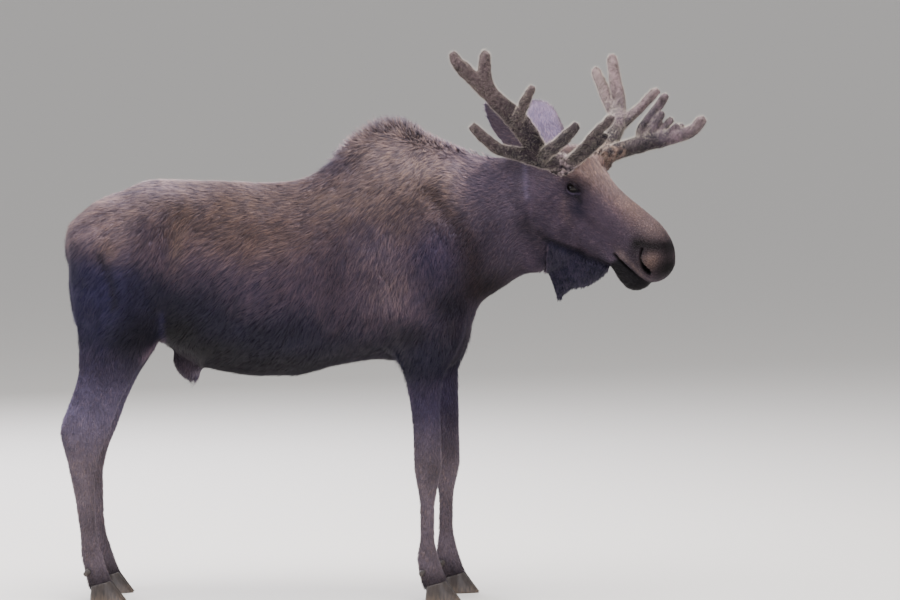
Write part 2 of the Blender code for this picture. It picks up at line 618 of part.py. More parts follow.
def make_ears(parts, head_room, neck_room):
    width, depth, hollow = map(through, (EAR_HALF_WIDTH, EAR_DEPTH, EAR_HOLLOW))
    for side, here in SIDE_NAMES.items():
        root, tip = (np.array(place) * (1, side, 1) for place in (EAR_ROOT, EAR_TIPS[here]))
        axis = (tip - root) / np.linalg.norm(tip - root)
        opening = np.array([-0.15, side * 0.95, -0.20])
        opening -= axis * (opening @ axis)
        opening /= np.linalg.norm(opening)
        across = HEAD_LEVEL @ np.cross(axis, opening)
        rings = []
        for t in np.linspace(0, 1, 18):
            bow = 0.022 * math.sin(math.pi * t)
            centre = by_poll(*(root + (tip - root) * t + opening * (0.6 * depth(t) - bow)))
            inner = depth(t) * (0.5 - hollow(t))
            half = width(t) * through(EAR_SPREAD[here])(t)
            rings.append(ring(centre, across, HEAD_LEVEL @ opening, half, inner, depth(t), sides=24))
        ear = mesh_object(f"ear_{here}", parts, *loft(rings))
        cut(thinned(ear, SMALL_TRIANGLES["ear"]), head_room, neck_room)


def make_bell(parts, rooms):
    """The flap of skin under the throat."""
    top, bottom, width = map(through, (BELL_TOP, BELL_BOTTOM, BELL_HALF_WIDTH))
    rings = []
    for x in np.linspace(BELL_TOP[0][0], BELL_TOP[-1][0], 22):
        reach = (top(x) - bottom(x)) / 2
        centre = (x, POLL[1] + math.tan(HEAD_YAW) * (x - POLL[0]), bottom(x) + reach)
        rings.append(ring(centre, HEAD_AXES[:, 1], (0, 0, 1), width(x), reach, reach, sides=24))
    cut(thinned(mesh_object("bell", parts, *loft(rings)), SMALL_TRIANGLES["bell"]), *rooms)


def make_tail(parts, rooms):
    rings = []
    for t in np.linspace(0, 1, 9):
        size = TAIL_RADIUS * math.sqrt(1 - (2 * t - 1) ** 2 * 0.92)
        centre = (0.045 - 0.052 * t, 0, 1.505 - 0.125 * t)
        rings.append(ring(centre, (0, 1, 0), (1, 0, 0), size, size * 0.7, size * 0.7, sides=20))
    cut(thinned(mesh_object("tail", parts, *loft(rings)), SMALL_TRIANGLES["tail"]), *rooms)


def make_sheath(parts, rooms):
    rings = []
    for t in np.linspace(-1, 1, 12):
        size = math.sqrt(1 - t * t * 0.97)
        centre = (0.500 + 0.066 * t, 0, 0.953 - 0.026 * t)
        rings.append(ring(centre, (0, 1, 0), (0, 0, 1), 0.046 * size, 0.080 * size, 0.077 * size, sides=20))
    cut(thinned(mesh_object("sheath", parts, *loft(rings)), SMALL_TRIANGLES["sheath"]), *rooms)


def make_antlers(parts, cutters):
    forks = {
        "right": {
            "palm": RIGHT_PALM,
            "rear_tine": RIGHT_REAR_TINE,
            "front_tine": RIGHT_FRONT_TINE,
            "brow": RIGHT_BROW,
        },
        "left": {"palm": LEFT_PALM, "brow": LEFT_BROW},
    }
    for side, here in SIDE_NAMES.items():
        skins = [branch(BURR, side)]
        seeds = {f"antler_{here}_burr": by_poll(-0.010, side * 0.168, -0.052)}
        own = group(f"antler_cutters_{here}", cutters)
        inside = by_poll(0, side * (PEDICLE_END - 0.2), 0)
        box(f"pedicle_{here}", own, inside, HEAD_LEVEL, (0.6, 0.4 + GAP, 0.6))
        for name, branches in forks[here].items():
            skins += [branch(points, side) for points in branches]
            (ahead, outward, up), way, width = ANTLER_CUTS[here][name]
            normal = HEAD_LEVEL @ (np.array(way) * (1, side, 1))
            axes = np.array(Vector(normal).to_track_quat("Z", "Y").to_matrix())
            place = by_poll(ahead, side * outward, up)
            box(f"{name}_cut_{here}", own, place, axes, (width, width, GAP))
            seeds[f"antler_{here}_{name}"] = by_poll(*np.array(branches[0][-1][:3]) * (1, side, 1))
        antler = fused(joined(f"antler_{here}", parts, skins), ANTLER_VOXEL, 3, ANTLER_TRIANGLES)
        parted(cut(antler, own), seeds, parts)


def claw_skin(x, y, turn, inner):
    """A claw on its flat sole. Its toe is pointed and its wall leans back and in as it rises."""
    heading = np.array(Matrix.Rotation(turn, 3, "Z"))
    rings = []
    for z in (0, 0.05, 0.12):
        toe = 0.62 * CLAW_LENGTH - 0.75 * z
        heel = 0.38 * CLAW_LENGTH - 0.10 * z
        half_width = CLAW_HALF_WIDTH - 0.05 * z
        centre = np.array([x, y, z]) + heading @ np.array([0, -inner * 0.06 * z, 0])
        rings.append(ring(centre, heading[:, 1], heading[:, 0], half_width, toe, heel, (1.45, 2.3), sides=12))
    return loft(rings)


def make_feet(parts, cutters):
    """Two claws and two dewclaws for each foot. Soles lie at z = 0."""
    for side in SIDE_NAMES:
        for foot, x in foot_places(side).items():
            above = group(f"above_{foot}", cutters)
            y = side * LEG_SPREAD
            axes = slope_axes(CORONET_SLOPE)
            middle = np.array([x, y, CORONET_HEIGHT]) + axes[:, 2] * 0.1
            box(f"over_{foot}", above, middle, axes, (0.5, 0.3, 0.2))
            room = room_for(f"{foot[:4]}_cannon_{SIDE_NAMES[side]}", cutters)
            for inner, which in ((side, "outer"), (-side, "inner")):
                skin = claw_skin(x + 0.012, y + inner * CLAW_BETWEEN, inner * -CLAW_SPLAY, inner)
                claw = mesh_object(f"claw_{foot}_{which}", parts, *skin)
                cut(claw, above)
                start = (x - 0.020, y + inner * 0.028, DEWCLAW_HEIGHT + 0.02)
                end = (x - 0.068, y + inner * 0.034, DEWCLAW_HEIGHT - 0.02)
                dewclaw = mesh_object(f"dewclaw_{foot}_{which}", parts, *bump(start, end, DEWCLAW_RADIUS))
                cut(thinned(dewclaw, SMALL_TRIANGLES["dewclaw"]), room)


def paint(parts):
    """One plain material for each part, by the start of its name."""
    kinds = {
        "eye": (EYE, 0.08), "antler": (VELVET, 0.85), "claw": (HORN, 0.45), "dewclaw": (HORN, 0.45),
        "bell": (DARK_COAT, 0.9), "lower_jaw": (DARK_COAT, 0.8), "tail": (DARK_COAT, 0.9),
    }
    for obj in parts.objects:
        colour, roughness = next((kinds[kind] for kind in kinds if obj.name.startswith(kind)), (COAT, 0.9))
        material = bpy.data.materials.new(obj.name)
        material.use_nodes = True
        shader = material.node_tree.nodes["Principled BSDF"]
        shader.inputs["Base Color"].default_value = colour
        shader.inputs["Roughness"].default_value = roughness
        shader.inputs["Metallic"].default_value = 0.0
        obj.data.materials.clear()
        obj.data.materials.append(material)


def stand_at_origin(parts):
    """Hangs every part on one empty, which puts the model's box over the origin with its soles at z = 0."""
    bpy.context.view_layer.update()
    corners = np.array([obj.matrix_world @ vert.co for obj in parts.objects for vert in obj.data.vertices])
    middle = (corners.min(axis=0) + corners.max(axis=0)) / 2
    base = bpy.data.objects.new("moose", None)
    base.location = (-middle[0], -middle[1], -corners[:, 2].min())
    for obj in list(parts.objects):
        obj.parent = base
    parts.objects.link(base)


def main():
    parts, cutters = start_scene()
    make_body(parts, cutters)
    make_head(parts, cutters)
    make_eyes(parts, cutters)
    head_room, jaw_room, neck_room = (room_for(name, cutters) for name in ("head", "lower_jaw", "neck"))
    make_ears(parts, head_room, neck_room)
    make_bell(parts, (head_room, jaw_room, neck_room))
    hind_rooms = [room_for(name, cutters) for name in ("trunk", "hind_leg_right", "hind_leg_left")]
    make_tail(parts, hind_rooms)
    make_sheath(parts, hind_rooms)
    make_antlers(parts, cutters)
    make_feet(parts, cutters)
    paint(parts)
    stand_at_origin(parts)


main()
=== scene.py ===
"""A bull moose in velvet, life size, as a museum would show it.

Metres, +Z up; the animal faces +X and its left side is +Y. Body places are given as (ahead of the rump, left,
up from the floor), and places on the head as (towards the nose, left, out of the forehead) from the poll.
"""

import math

import bmesh
import bpy
import numpy as np
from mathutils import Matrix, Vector


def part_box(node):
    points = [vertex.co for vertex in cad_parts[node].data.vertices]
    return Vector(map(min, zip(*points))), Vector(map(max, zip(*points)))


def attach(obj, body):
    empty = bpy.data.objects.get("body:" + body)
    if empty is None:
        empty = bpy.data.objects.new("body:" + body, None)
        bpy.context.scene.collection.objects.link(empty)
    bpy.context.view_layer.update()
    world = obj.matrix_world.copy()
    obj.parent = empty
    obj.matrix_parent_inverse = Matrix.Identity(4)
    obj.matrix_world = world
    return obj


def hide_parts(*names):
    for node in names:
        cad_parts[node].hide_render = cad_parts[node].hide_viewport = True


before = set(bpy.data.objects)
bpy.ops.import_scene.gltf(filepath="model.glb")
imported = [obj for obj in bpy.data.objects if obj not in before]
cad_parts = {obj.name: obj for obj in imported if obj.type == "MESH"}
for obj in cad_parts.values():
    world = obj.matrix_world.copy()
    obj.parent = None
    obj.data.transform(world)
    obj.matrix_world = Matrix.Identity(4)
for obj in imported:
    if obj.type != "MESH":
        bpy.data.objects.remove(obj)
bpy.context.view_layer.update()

# ---- The hide ----------------------------------------------------------------------------------------------
# One tanned hide from the muzzle to the hooves. The solids of flesh run out to the tips of the coat, so they
# are closed into one surface, eased, and drawn in by the depth of the hair at each place.
SIDES = {"right": -1, "left": 1}
FLESH = ["trunk", "neck", "head", "lower_jaw", "bell", "tail", "sheath"]
LIMBS = ("ear", "hind_leg", "hind_cannon", "foreleg", "fore_cannon")
FLESH += [f"{piece}_{side}" for piece in LIMBS for side in SIDES]
CUT_CLOSING = 0.0015
EAR_SWELL = 0.0075
HIDE_VOXEL = 0.0058
EASING_ROUNDS = 60
HIDE_TRIANGLES = 104000
HEAD_DIP = math.radians(38)
EYE_FROM_POLL = (0.079, 0.103, -0.078)

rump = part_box("trunk")[0].x
eye_centres = {side: np.array((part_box(f"eye_{side}")[0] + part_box(f"eye_{side}")[1]) / 2) for side in SIDES}
head_left = eye_centres["left"] - eye_centres["right"]
head_left /= np.linalg.norm(head_left)
head_level = np.cross(head_left, (0, 0, 1))
head_ahead = head_level * math.cos(HEAD_DIP) - np.array((0, 0, math.sin(HEAD_DIP)))
HEAD_AXES = np.stack([head_ahead, head_left, np.cross(head_ahead, head_left)])
poll = sum(eye_centres.values()) / 2 - np.array((EYE_FROM_POLL[0], 0, EYE_FROM_POLL[2])) @ HEAD_AXES


def on_head(points):
    """World places as (towards the nose, left, out of the forehead) from the poll."""
    return (points - poll) @ HEAD_AXES.T


def on_body(points):
    """World places as (ahead of the rump, left, up)."""
    return points - (rump, 0, 0)


def smooth_step(low, high, value):
    """Rises from 0 at low to 1 at high, as 3t squared less 2t cubed."""
    t = np.clip((value - low) / (high - low), 0, 1)
    return t * t * (3 - 2 * t)


def near(a, b, centre, radii):
    """A soft spot: e to the minus squared distance from the centre, measured in radii."""
    return np.exp(-(((a - centre[0]) / radii[0]) ** 2) - ((b - centre[1]) / radii[1]) ** 2)


def to_path(a, b, path):
    """The distance in a plane from each (a, b) to a path of straight runs."""
    best = np.full(np.shape(a), 9.0)
    for (a0, b0), (a1, b1) in zip(path[:-1], path[1:]):
        run = (a1 - a0) ** 2 + (b1 - b0) ** 2
        t = np.clip(((a - a0) * (a1 - a0) + (b - b0) * (b1 - b0)) / run, 0, 1)
        best = np.minimum(best, np.hypot(a - a0 - t * (a1 - a0), b - b0 - t * (b1 - b0)))
    return best


def along_path(a, b, path, width):
    """A soft line: e to the minus squared distance from the path, measured in widths."""
    return np.exp(-((to_path(a, b, path) / width) ** 2))


def ear_share(points):
    """1 on the ears, found by their solids' boxes and by how far they stand up and out behind the poll."""
    level, left = (points - poll) @ head_level, (points - poll) @ head_left
    boxed = np.zeros(len(points))
    for side in SIDES:
        low, high = (np.array(corner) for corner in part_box(f"ear_{side}"))
        beyond = np.maximum(low - points, points - high).max(axis=1)
        boxed = np.maximum(boxed, smooth_step(0.03, 0.01, beyond))
    up = points[:, 2] - poll[2]
    out = np.abs(left) + 0.55 * up - 0.25 * (level + 0.12)
    foot = 0.03 - 0.04 * smooth_step(-0.14, -0.20, level)
    share = boxed * smooth_step(0.105, 0.135, out) * smooth_step(0.0, 0.03, up + foot)
    return share * smooth_step(-0.075, -0.10, level)


def head_share(points):
    """1 on the head, its ears and its bell, and 0 behind the join with the neck."""
    level = (points - poll) @ head_level
    head = smooth_step(-0.21, -0.15, level) * smooth_step(1.10, 1.16, points[:, 2])
    return np.maximum(head, ear_share(points))


JAW_EDGE = [(0.06, -0.300), (0.12, -0.298), (0.20, -0.290), (0.26, -0.284), (0.30, -0.266), (0.37, -0.245)]


def bell_share(points):
    """1 on the bell that hangs under the jaw."""
    low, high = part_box("bell")
    s, _, u = on_head(points).T
    from_middle = np.abs(points[:, 0] - (low.x + high.x) / 2)
    level = smooth_step((high.x - low.x) / 2 + 0.022, (high.x - low.x) / 2 - 0.022, from_middle)
    jaw = np.interp(s, *np.array(JAW_EDGE).T)
    return level * smooth_step(jaw + 0.012, jaw - 0.026, u) * smooth_step(1.60, 1.50, points[:, 2])


def leg_share(points):
    """1 below the trunk and 0 on it."""
    ahead, _, up = on_body(points).T
    rear = smooth_step(0.62, 0.50, ahead)
    thigh = rear * smooth_step(1.08, 0.95, up) * smooth_step(0.93, 0.84, 1.77 - up)
    return smooth_step(0.93, 0.84, up) + thigh


def vectors_of(items, what):
    """A vector property of a mesh's vertices as rows."""
    values = np.empty(len(items) * 3, np.float32)
    items.foreach_get(what, values)
    return values.reshape(-1, 3).astype(float)


def ends_of(mesh):
    """The two vertices of each edge."""
    values = np.empty(len(mesh.edges) * 2, np.int32)
    mesh.edges.foreach_get("vertices", values)
    return values.reshape(-1, 2)


def eased(points, edges, share, rounds, hold=0.0):
    """Each point moves by its share of the way to the mean of its neighbours, this many times.

    Where hold is 1 it then moves a little further away from their mean, so that thin shapes don't shrink.
    """
    count = len(points)
    ends = np.concatenate([edges, edges[:, ::-1]])
    touching = np.bincount(ends[:, 0], minlength=count)
    for _ in range(rounds):
        for way in (1.0, -1.04 * hold):
            total = [np.bincount(ends[:, 0], points[ends[:, 1], axis], count) for axis in range(3)]
            points = points + (way * share)[:, None] * (np.stack(total, axis=1) / touching[:, None] - points)
            if np.max(hold) == 0:
                break
    return points


def closed_over(name, nodes, closing, voxel):
    """An object whose mesh is one closed surface over the solids, each first swollen to close the cuts."""
    places, faces, count = [], [], 0
    for node in nodes:
        shape = bmesh.new()
        shape.from_mesh(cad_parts[node].data)
        bmesh.ops.remove_doubles(shape, verts=shape.verts, dist=1e-5)
        mesh = bpy.data.meshes.new(node)
        shape.to_mesh(mesh)
        shape.free()
        swell = EAR_SWELL if node.startswith("ear") else closing
        places.append(vectors_of(mesh.vertices, "co") + vectors_of(mesh.vertex_normals, "vector") * swell)
        faces += [[count + i for i in face.vertices] for face in mesh.polygons]
        count += len(mesh.vertices)
    mesh = bpy.data.meshes.new(name)
    mesh.from_pydata(np.concatenate(places), [], faces)
    made = bpy.data.objects.new(name, mesh)
    bpy.context.scene.collection.objects.link(made)
    fuse = made.modifiers.new("Fuse", "REMESH")
    fuse.mode = "VOXEL"
    fuse.voxel_size = voxel
    return applied(made)


def applied(obj):
    """Replaces the object's mesh by what its modifiers make of it."""
    graph = bpy.context.evaluated_depsgraph_get()
    mesh = bpy.data.meshes.new_from_object(obj.evaluated_get(graph))
    obj.modifiers.clear()
    obj.data = mesh
    return obj


def move_points(mesh, points):
    mesh.vertices.foreach_set("co", points.astype(np.float32).ravel())
    mesh.update()


hide = closed_over("hide", FLESH + [f"eye_{side}" for side in SIDES], CUT_CLOSING, HIDE_VOXEL)
points = vectors_of(hide.data.vertices, "co")
easing = 0.5 * (1 - 0.80 * head_share(points)) * (1 - 0.65 * np.clip(leg_share(points), 0, 1))
easing *= 1 - ear_share(points) * head_share(points)
points = eased(points, ends_of(hide.data), easing, EASING_ROUNDS)
ears = ear_share(points) * head_share(points)
points = eased(points, ends_of(hide.data), 0.5 * ears, 40, ears)
move_points(hide.data, points)

# The muscles, hollows and folds that show through the coat, as (path or spot, width, height).
SHOULDER_FOLD = [(1.487, 1.655), (1.561, 1.552), (1.626, 1.468), (1.658, 1.371), (1.667, 1.242)]
BODY_LINES = [
    (SHOULDER_FOLD, 0.045, -0.010),
    ([(1.40, 1.66), (1.50, 1.50), (1.565, 1.34)], 0.060, 0.007),
    ([(1.27, 1.78), (1.37, 1.55), (1.44, 1.34)], 0.045, 0.008),
    ([(1.24, 1.28), (1.30, 1.12), (1.36, 0.98)], 0.035, -0.010),
    ([(0.205, 1.42), (0.215, 1.25), (0.185, 1.06)], 0.028, -0.010),
    ([(0.395, 1.02), (0.425, 1.14), (0.475, 1.30)], 0.032, -0.013),
    ([(0.055, 0.88), (0.062, 0.76), (0.050, 0.68)], 0.017, -0.008),
    ([(0.22, 0.86), (0.17, 0.74)], 0.020, 0.004),
]
BODY_SPOTS = [
    ((1.37, 1.20), (0.10, 0.12), 0.010),
    ((0.52, 1.50), (0.10, 0.07), -0.010),
    ((0.35, 1.56), (0.06, 0.05), 0.008),
    ((0.26, 1.15), (0.10, 0.13), 0.008),
    ((0.10, 1.38), (0.05, 0.06), 0.006),
    ((1.02, 1.50), (0.16, 0.12), -0.006),
]
normals = vectors_of(hide.data.vertex_normals, "vector")
ahead, left, up = on_body(points).T
lift = np.zeros(len(points))
for path, width, height in BODY_LINES:
    lift += height * along_path(ahead, up, path, width)
for spot, radii, height in BODY_SPOTS:
    lift += height * near(ahead, up, spot, radii)
lift *= smooth_step(0.25, 0.7, np.abs(normals[:, 1]) * (1 - head_share(points)))
points += normals * lift[:, None]
points[:, 0] += 0.016 * near(ahead, up, (-0.02, 1.37), (0.07, 0.10))
move_points(hide.data, eased(points, ends_of(hide.data), easing, 8))

# The body's broad surfaces need fewer faces than the head's.
thinning = hide.vertex_groups.new(name="thinning")
broad = np.nonzero(head_share(vectors_of(hide.data.vertices, "co")) < 0.5)[0]
thinning.add(broad.tolist(), 1.0, "REPLACE")
hide.data.calc_loop_triangles()
thin = hide.modifiers.new("Thin", "DECIMATE")
thin.vertex_group = thinning.name
thin.ratio = HIDE_TRIANGLES / len(hide.data.loop_triangles)
applied(hide)
hide.vertex_groups.clear()

# Finer faces where lids, nostrils and lips are worked.
FINE_SPOTS = [
    ((0.082, -0.078), 0.062), ((0.508, -0.112), 0.064), ((0.43, -0.19), 0.060),
    ((0.082, -0.078), 0.043), ((0.502, -0.110), 0.048), ((0.079, -0.078), 0.031),
]


def refine(mesh, centre, radius):
    """Halves the edges within a radius of a place on the side of the head."""
    shape = bmesh.new()
    shape.from_mesh(mesh)
    shape.verts.ensure_lookup_table()
    ahead, left, out = on_head(vectors_of(mesh.vertices, "co")).T
    inside = (np.hypot(ahead - centre[0], out - centre[1]) < radius) & (np.abs(left) > 0.02)
    edges = [edge for edge in shape.edges if inside[edge.verts[0].index] and inside[edge.verts[1].index]]
    bmesh.ops.subdivide_edges(shape, edges=edges, cuts=1, use_grid_fill=True)
    bmesh.ops.triangulate(shape, faces=[face for face in shape.faces if len(face.verts) > 4])
    shape.to_mesh(mesh)
    shape.free()
    mesh.update()


for centre, radius in FINE_SPOTS:
    refine(hide.data, centre, radius)

# How deep the coat is at each place, from the tips of the hair to the skin.
TRUNK_COAT = 0.013
HEAD_COAT = 0.0035
LEG_COAT = 0.0055
EAR_COAT = 0.0060
BELL_COAT = 0.0170
MANE_COAT = 0.038
CORONET_SINK = np.array((0.004, 0, -0.017))


def mane_share(points):
    """1 along the crest of the hump, where the hair stands, and fading down its sides."""
    ahead, left, up = on_body(points).T
    return near(ahead, left, (1.31, 0.0), (0.21, 0.060)) * smooth_step(1.60, 1.75, up)


def coat_depth(points):
    head, leg = head_share(points), np.clip(leg_share(points), 0, 1)
    depth = TRUNK_COAT + MANE_COAT * mane_share(points)
    depth = depth + (LEG_COAT - 0.0035 * smooth_step(0.18, 0.12, points[:, 2]) - depth) * leg
    depth = depth + (HEAD_COAT - depth) * head
    depth = depth + (BELL_COAT - depth) * bell_share(points)
    return depth + (EAR_COAT - depth) * ear_share(points) * head


points = vectors_of(hide.data.vertices, "co")
normals = vectors_of(hide.data.vertex_normals, "vector")
points -= normals * coat_depth(points)[:, None]
points += smooth_step(0.14, 0.09, points[:, 2])[:, None] * (normals * (0.003, 0.003, 0) + CORONET_SINK)
ears = ear_share(points) * head_share(points)
points = eased(points, ends_of(hide.data), 0.5 * ears, 16, ears)

# The bones, hollows and folds of the face, as (path or spot, width, height).
HEAD_LINES = [
    ([(0.02, -0.120), (0.10, -0.132), (0.20, -0.118), (0.30, -0.112)], 0.021, 0.0045),
    ([(0.10, -0.292), (0.20, -0.288), (0.26, -0.284), (0.30, -0.266), (0.37, -0.245)], 0.014, -0.007),
    ([(0.12, -0.030), (0.22, -0.040), (0.30, -0.045)], 0.016, -0.003),
    ([(-0.08, -0.12), (-0.01, -0.18), (0.05, -0.26)], 0.018, -0.006),
    ([(0.375, -0.15), (0.400, -0.165), (0.430, -0.172)], 0.008, 0.003),
]
HEAD_SPOTS = [
    ((0.055, -0.200), (0.065, 0.060), 0.006), ((0.240, -0.150), (0.060, 0.030), -0.004),
    ((0.516, -0.098), (0.028, 0.022), 0.010), ((0.545, -0.160), (0.040, 0.014), 0.004),
    ((0.020, -0.055), (0.024, 0.020), -0.003), ((0.055, -0.012), (0.040, 0.020), 0.012),
]
NOSTRIL = [(0.466, -0.078), (0.472, -0.098), (0.485, -0.118), (0.508, -0.133), (0.534, -0.138)]


def in_nostril(s, u):
    """The distance to the edge of the nostril's comma, below 0 inside it. It widens towards its lower end."""
    return to_path(s, u, NOSTRIL) - 0.0028 - 0.0100 * smooth_step(0.480, 0.525, s)


MOUTH = [(0.366, -0.190), (0.403, -0.193), (0.451, -0.194), (0.503, -0.190), (0.560, -0.186), (0.585, -0.180)]

s, l, u = on_head(points).T
across = normals @ head_left
cheek = smooth_step(0.25, 0.75, np.abs(across)) * head_share(points) * (1 - ear_share(points))
face = np.zeros(len(points))
for path, width, height in HEAD_LINES:
    face += height * along_path(s, u, path, width)
for spot, radii, height in HEAD_SPOTS:
    face += height * near(s, u, spot, radii)
face -= 0.024 * smooth_step(0.004, -0.003, in_nostril(s, u))
face += 0.0035 * np.exp(-(((in_nostril(s, u) - 0.008) / 0.006) ** 2))
lips = to_path(s, u, MOUTH)
face -= 0.010 * smooth_step(0.0055, 0.001, lips)
face += 0.003 * np.exp(-(((lips - 0.011) / 0.006) ** 2)) * smooth_step(-0.20, -0.185, u)
points += normals * (face * cheek)[:, None]

# The lids close over each eyeball and leave an almond open, with a crease above and a fold and gland below.
EYEBALL_RADIUS = 0.0250
LID = 0.0020
OPENING = (0.0230, 0.0130)
EYE_TURN = math.radians(20)
a, b = s - EYE_FROM_POLL[0], u - EYE_FROM_POLL[2]
a, b = a * math.cos(EYE_TURN) + b * math.sin(EYE_TURN), b * math.cos(EYE_TURN) - a * math.sin(EYE_TURN)
from_eye = np.hypot(a, b)
out = np.abs(l)
almond = np.abs(b) - OPENING[1] * (1 - (a / OPENING[0]) ** 2) * np.where(b > 0, 1.0, 0.85)
almond = np.where(np.abs(a) > OPENING[0], np.hypot(np.abs(a) - OPENING[0], b), almond)
over_ball = EYE_FROM_POLL[1] + np.sqrt(np.clip((EYEBALL_RADIUS + LID) ** 2 - from_eye**2, 0, 1))
behind_lid = EYE_FROM_POLL[1] + np.sqrt(np.clip(EYEBALL_RADIUS**2 - from_eye**2, 0, 1)) - 0.008
around = smooth_step(0.050, 0.029, from_eye) * (out > 0.05) * (np.abs(across) > 0.1)
crease = np.exp(-(((almond - 0.0065) / 0.0022) ** 2)) * 0.0022
crease = crease + np.exp(-(((almond - 0.014) / 0.004) ** 2)) * 0.0020
brow = near(a, b, (-0.002, 0.024), (0.030, 0.009)) * 0.006
gland = along_path(a, b, [(0.021, -0.002), (0.034, -0.004), (0.046, -0.003)], 0.0035) * 0.004
cheek_out = out - 0.004 * smooth_step(0.036, 0.022, from_eye)
lid_out = (over_ball + cheek_out + np.sqrt((over_ball - cheek_out) ** 2 + 0.006**2)) / 2 - 0.0015
lid_out = lid_out - crease + brow - gland
shown = smooth_step(0.0, -0.0022, almond) * (from_eye < EYEBALL_RADIUS)
lid_out = lid_out + (np.minimum(behind_lid, lid_out) - lid_out) * shown
out_now = out + (lid_out - out) * around
points += (np.sign(l) * (out_now - out))[:, None] * head_left
move_points(hide.data, points)
hide.data.shade_smooth()
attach(hide, "root")
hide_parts(*FLESH)


def linear(code):
    """An sRGB hex colour as linear red, green and blue."""
    parts = np.array([int(code[i : i + 2], 16) / 255 for i in (1, 3, 5)])
    return np.where(parts <= 0.04045, parts / 12.92, ((parts + 0.055) / 1.055) ** 2.4)


def mottle(places, size, seed):
    """Soft noise of about -1 to 1 with spots of this size: a sum of bent sine waves that run all ways."""
    dice = np.random.default_rng(seed)
    total = np.zeros(len(places))
    for _ in range(9):
        ways = dice.normal(size=(2, 3)) * math.pi / size / 1.7
        turns = dice.uniform(0, 2 * math.pi, 2)
        total += np.sin(places @ ways[0] + turns[0] + 1.4 * np.sin(places @ ways[1] * 0.7 + turns[1]))
    return total / 2.6


def painted(colour, share, code):
    """The colour with a share of another laid over it."""
    return colour + (linear(code) - colour) * np.clip(share, 0, 1)[:, None]


# The pattern of the coat: dark below a line that falls from thigh to elbow, with spots of other tones. The
# navy blue of the dark lower coat, the thighs and the bell is painted bluish shade over dark hair.
LOWER_EDGE = [(0.0, 1.41), (0.20, 1.37), (0.45, 1.30), (0.80, 1.21), (1.10, 1.12), (1.45, 1.05), (1.70, 0.98)]
BODY_TONES = [
    ((0.15, 1.51), (0.17, 0.10), "#97827f", 0.85),
    ((0.34, 1.66), (0.24, 0.06), "#a18f90", 0.80),
    ((0.85, 1.68), (0.30, 0.05), "#605154", 0.65),
    ((1.24, 1.77), (0.20, 0.09), "#8f7d78", 0.70),
    ((1.46, 1.77), (0.12, 0.08), "#ab978f", 0.85),
    ((1.05, 1.76), (0.12, 0.06), "#483e50", 0.85),
    ((0.66, 1.60), (0.05, 0.06), "#4a3c36", 0.55),
    ((0.35, 1.49), (0.055, 0.045), "#3f3950", 0.60),
    ((0.49, 1.57), (0.045, 0.060), "#43352d", 0.60),
    ((0.47, 1.44), (0.030, 0.080), "#84705f", 0.45),
    ((0.19, 1.41), (0.045, 0.050), "#8f7869", 0.60),
    ((0.78, 1.46), (0.30, 0.11), "#725d50", 0.60),
    ((1.33, 1.27), (0.11, 0.11), "#756569", 0.80),
    ((0.60, 1.53), (0.28, 0.08), "#735f54", 0.45),
    ((1.62, 1.80), (0.16, 0.07), "#8c7a80", 0.70),
    ((1.12, 1.24), (0.13, 0.12), "#4a3f49", 0.45),
    ((1.50, 1.35), (0.09, 0.14), "#4a4157", 0.85),
    ((1.55, 1.19), (0.09, 0.10), "#23202a", 0.85),
    ((1.25, 1.42), (0.11, 0.09), "#6f6169", 0.60),
    ((1.39, 1.065), (0.10, 0.060), "#2a252c", 0.85),
    ((1.62, 1.05), (0.09, 0.17), "#2a2631", 0.85),
    ((1.72, 1.69), (0.11, 0.07), "#453b4c", 0.60),
    ((1.20, 1.02), (0.10, 0.06), "#332c38", 0.60),
    ((0.275, 1.075), (0.115, 0.110), "#151316", 0.96),
    ((0.49, 1.08), (0.095, 0.110), "#121013", 0.97),
    ((0.70, 0.94), (0.40, 0.055), "#1f1d22", 0.85),
    # The back of the thigh: dark hair in painted bluish shade.
    ((0.14, 1.22), (0.13, 0.17), "#383453", 0.85),
    ((1.74, 1.62), (0.14, 0.12), "#5d5058", 0.60),
    ((1.74, 1.26), (0.16, 0.08), "#2b2626", 0.80),
    ((0.58, 1.00), (0.18, 0.07), "#100e11", 0.92),
    ((0.49, 0.925), (0.07, 0.055), "#40353c", 0.88),
    ((0.555, 0.900), (0.024, 0.022), "#a3949c", 0.55),
    # Painted shade over the rear edge of the bell, where it catches the light.
    ((1.950, 1.365), (0.025, 0.070), "#2a2530", 0.85),
]
BODY_SHADES = [
    # Painted shade in the fold in front of the shoulder, over a brownish band of hair.
    (SHOULDER_FOLD, 0.042, "#322827", 0.62),
    # Painted shade in the groove between the muscles of the thigh.
    ([(0.160, 1.39), (0.205, 1.29), (0.222, 1.19)], 0.016, "#201e26", 0.75),
    ([(0.40, 1.16), (0.405, 1.05)], 0.012, "#3a3550", 0.70),
    ([(0.33, 0.98), (0.41, 1.05)], 0.014, "#6b5966", 0.70),
    # Painted light along the ridge behind the jaw.
    ([(1.864, 1.761), (1.872, 1.626)], 0.010, "#83768a", 0.45),
    ([(0.060, 0.93), (0.030, 0.80), (0.0, 0.70)], 0.010, "#9587a0", 0.50),
]
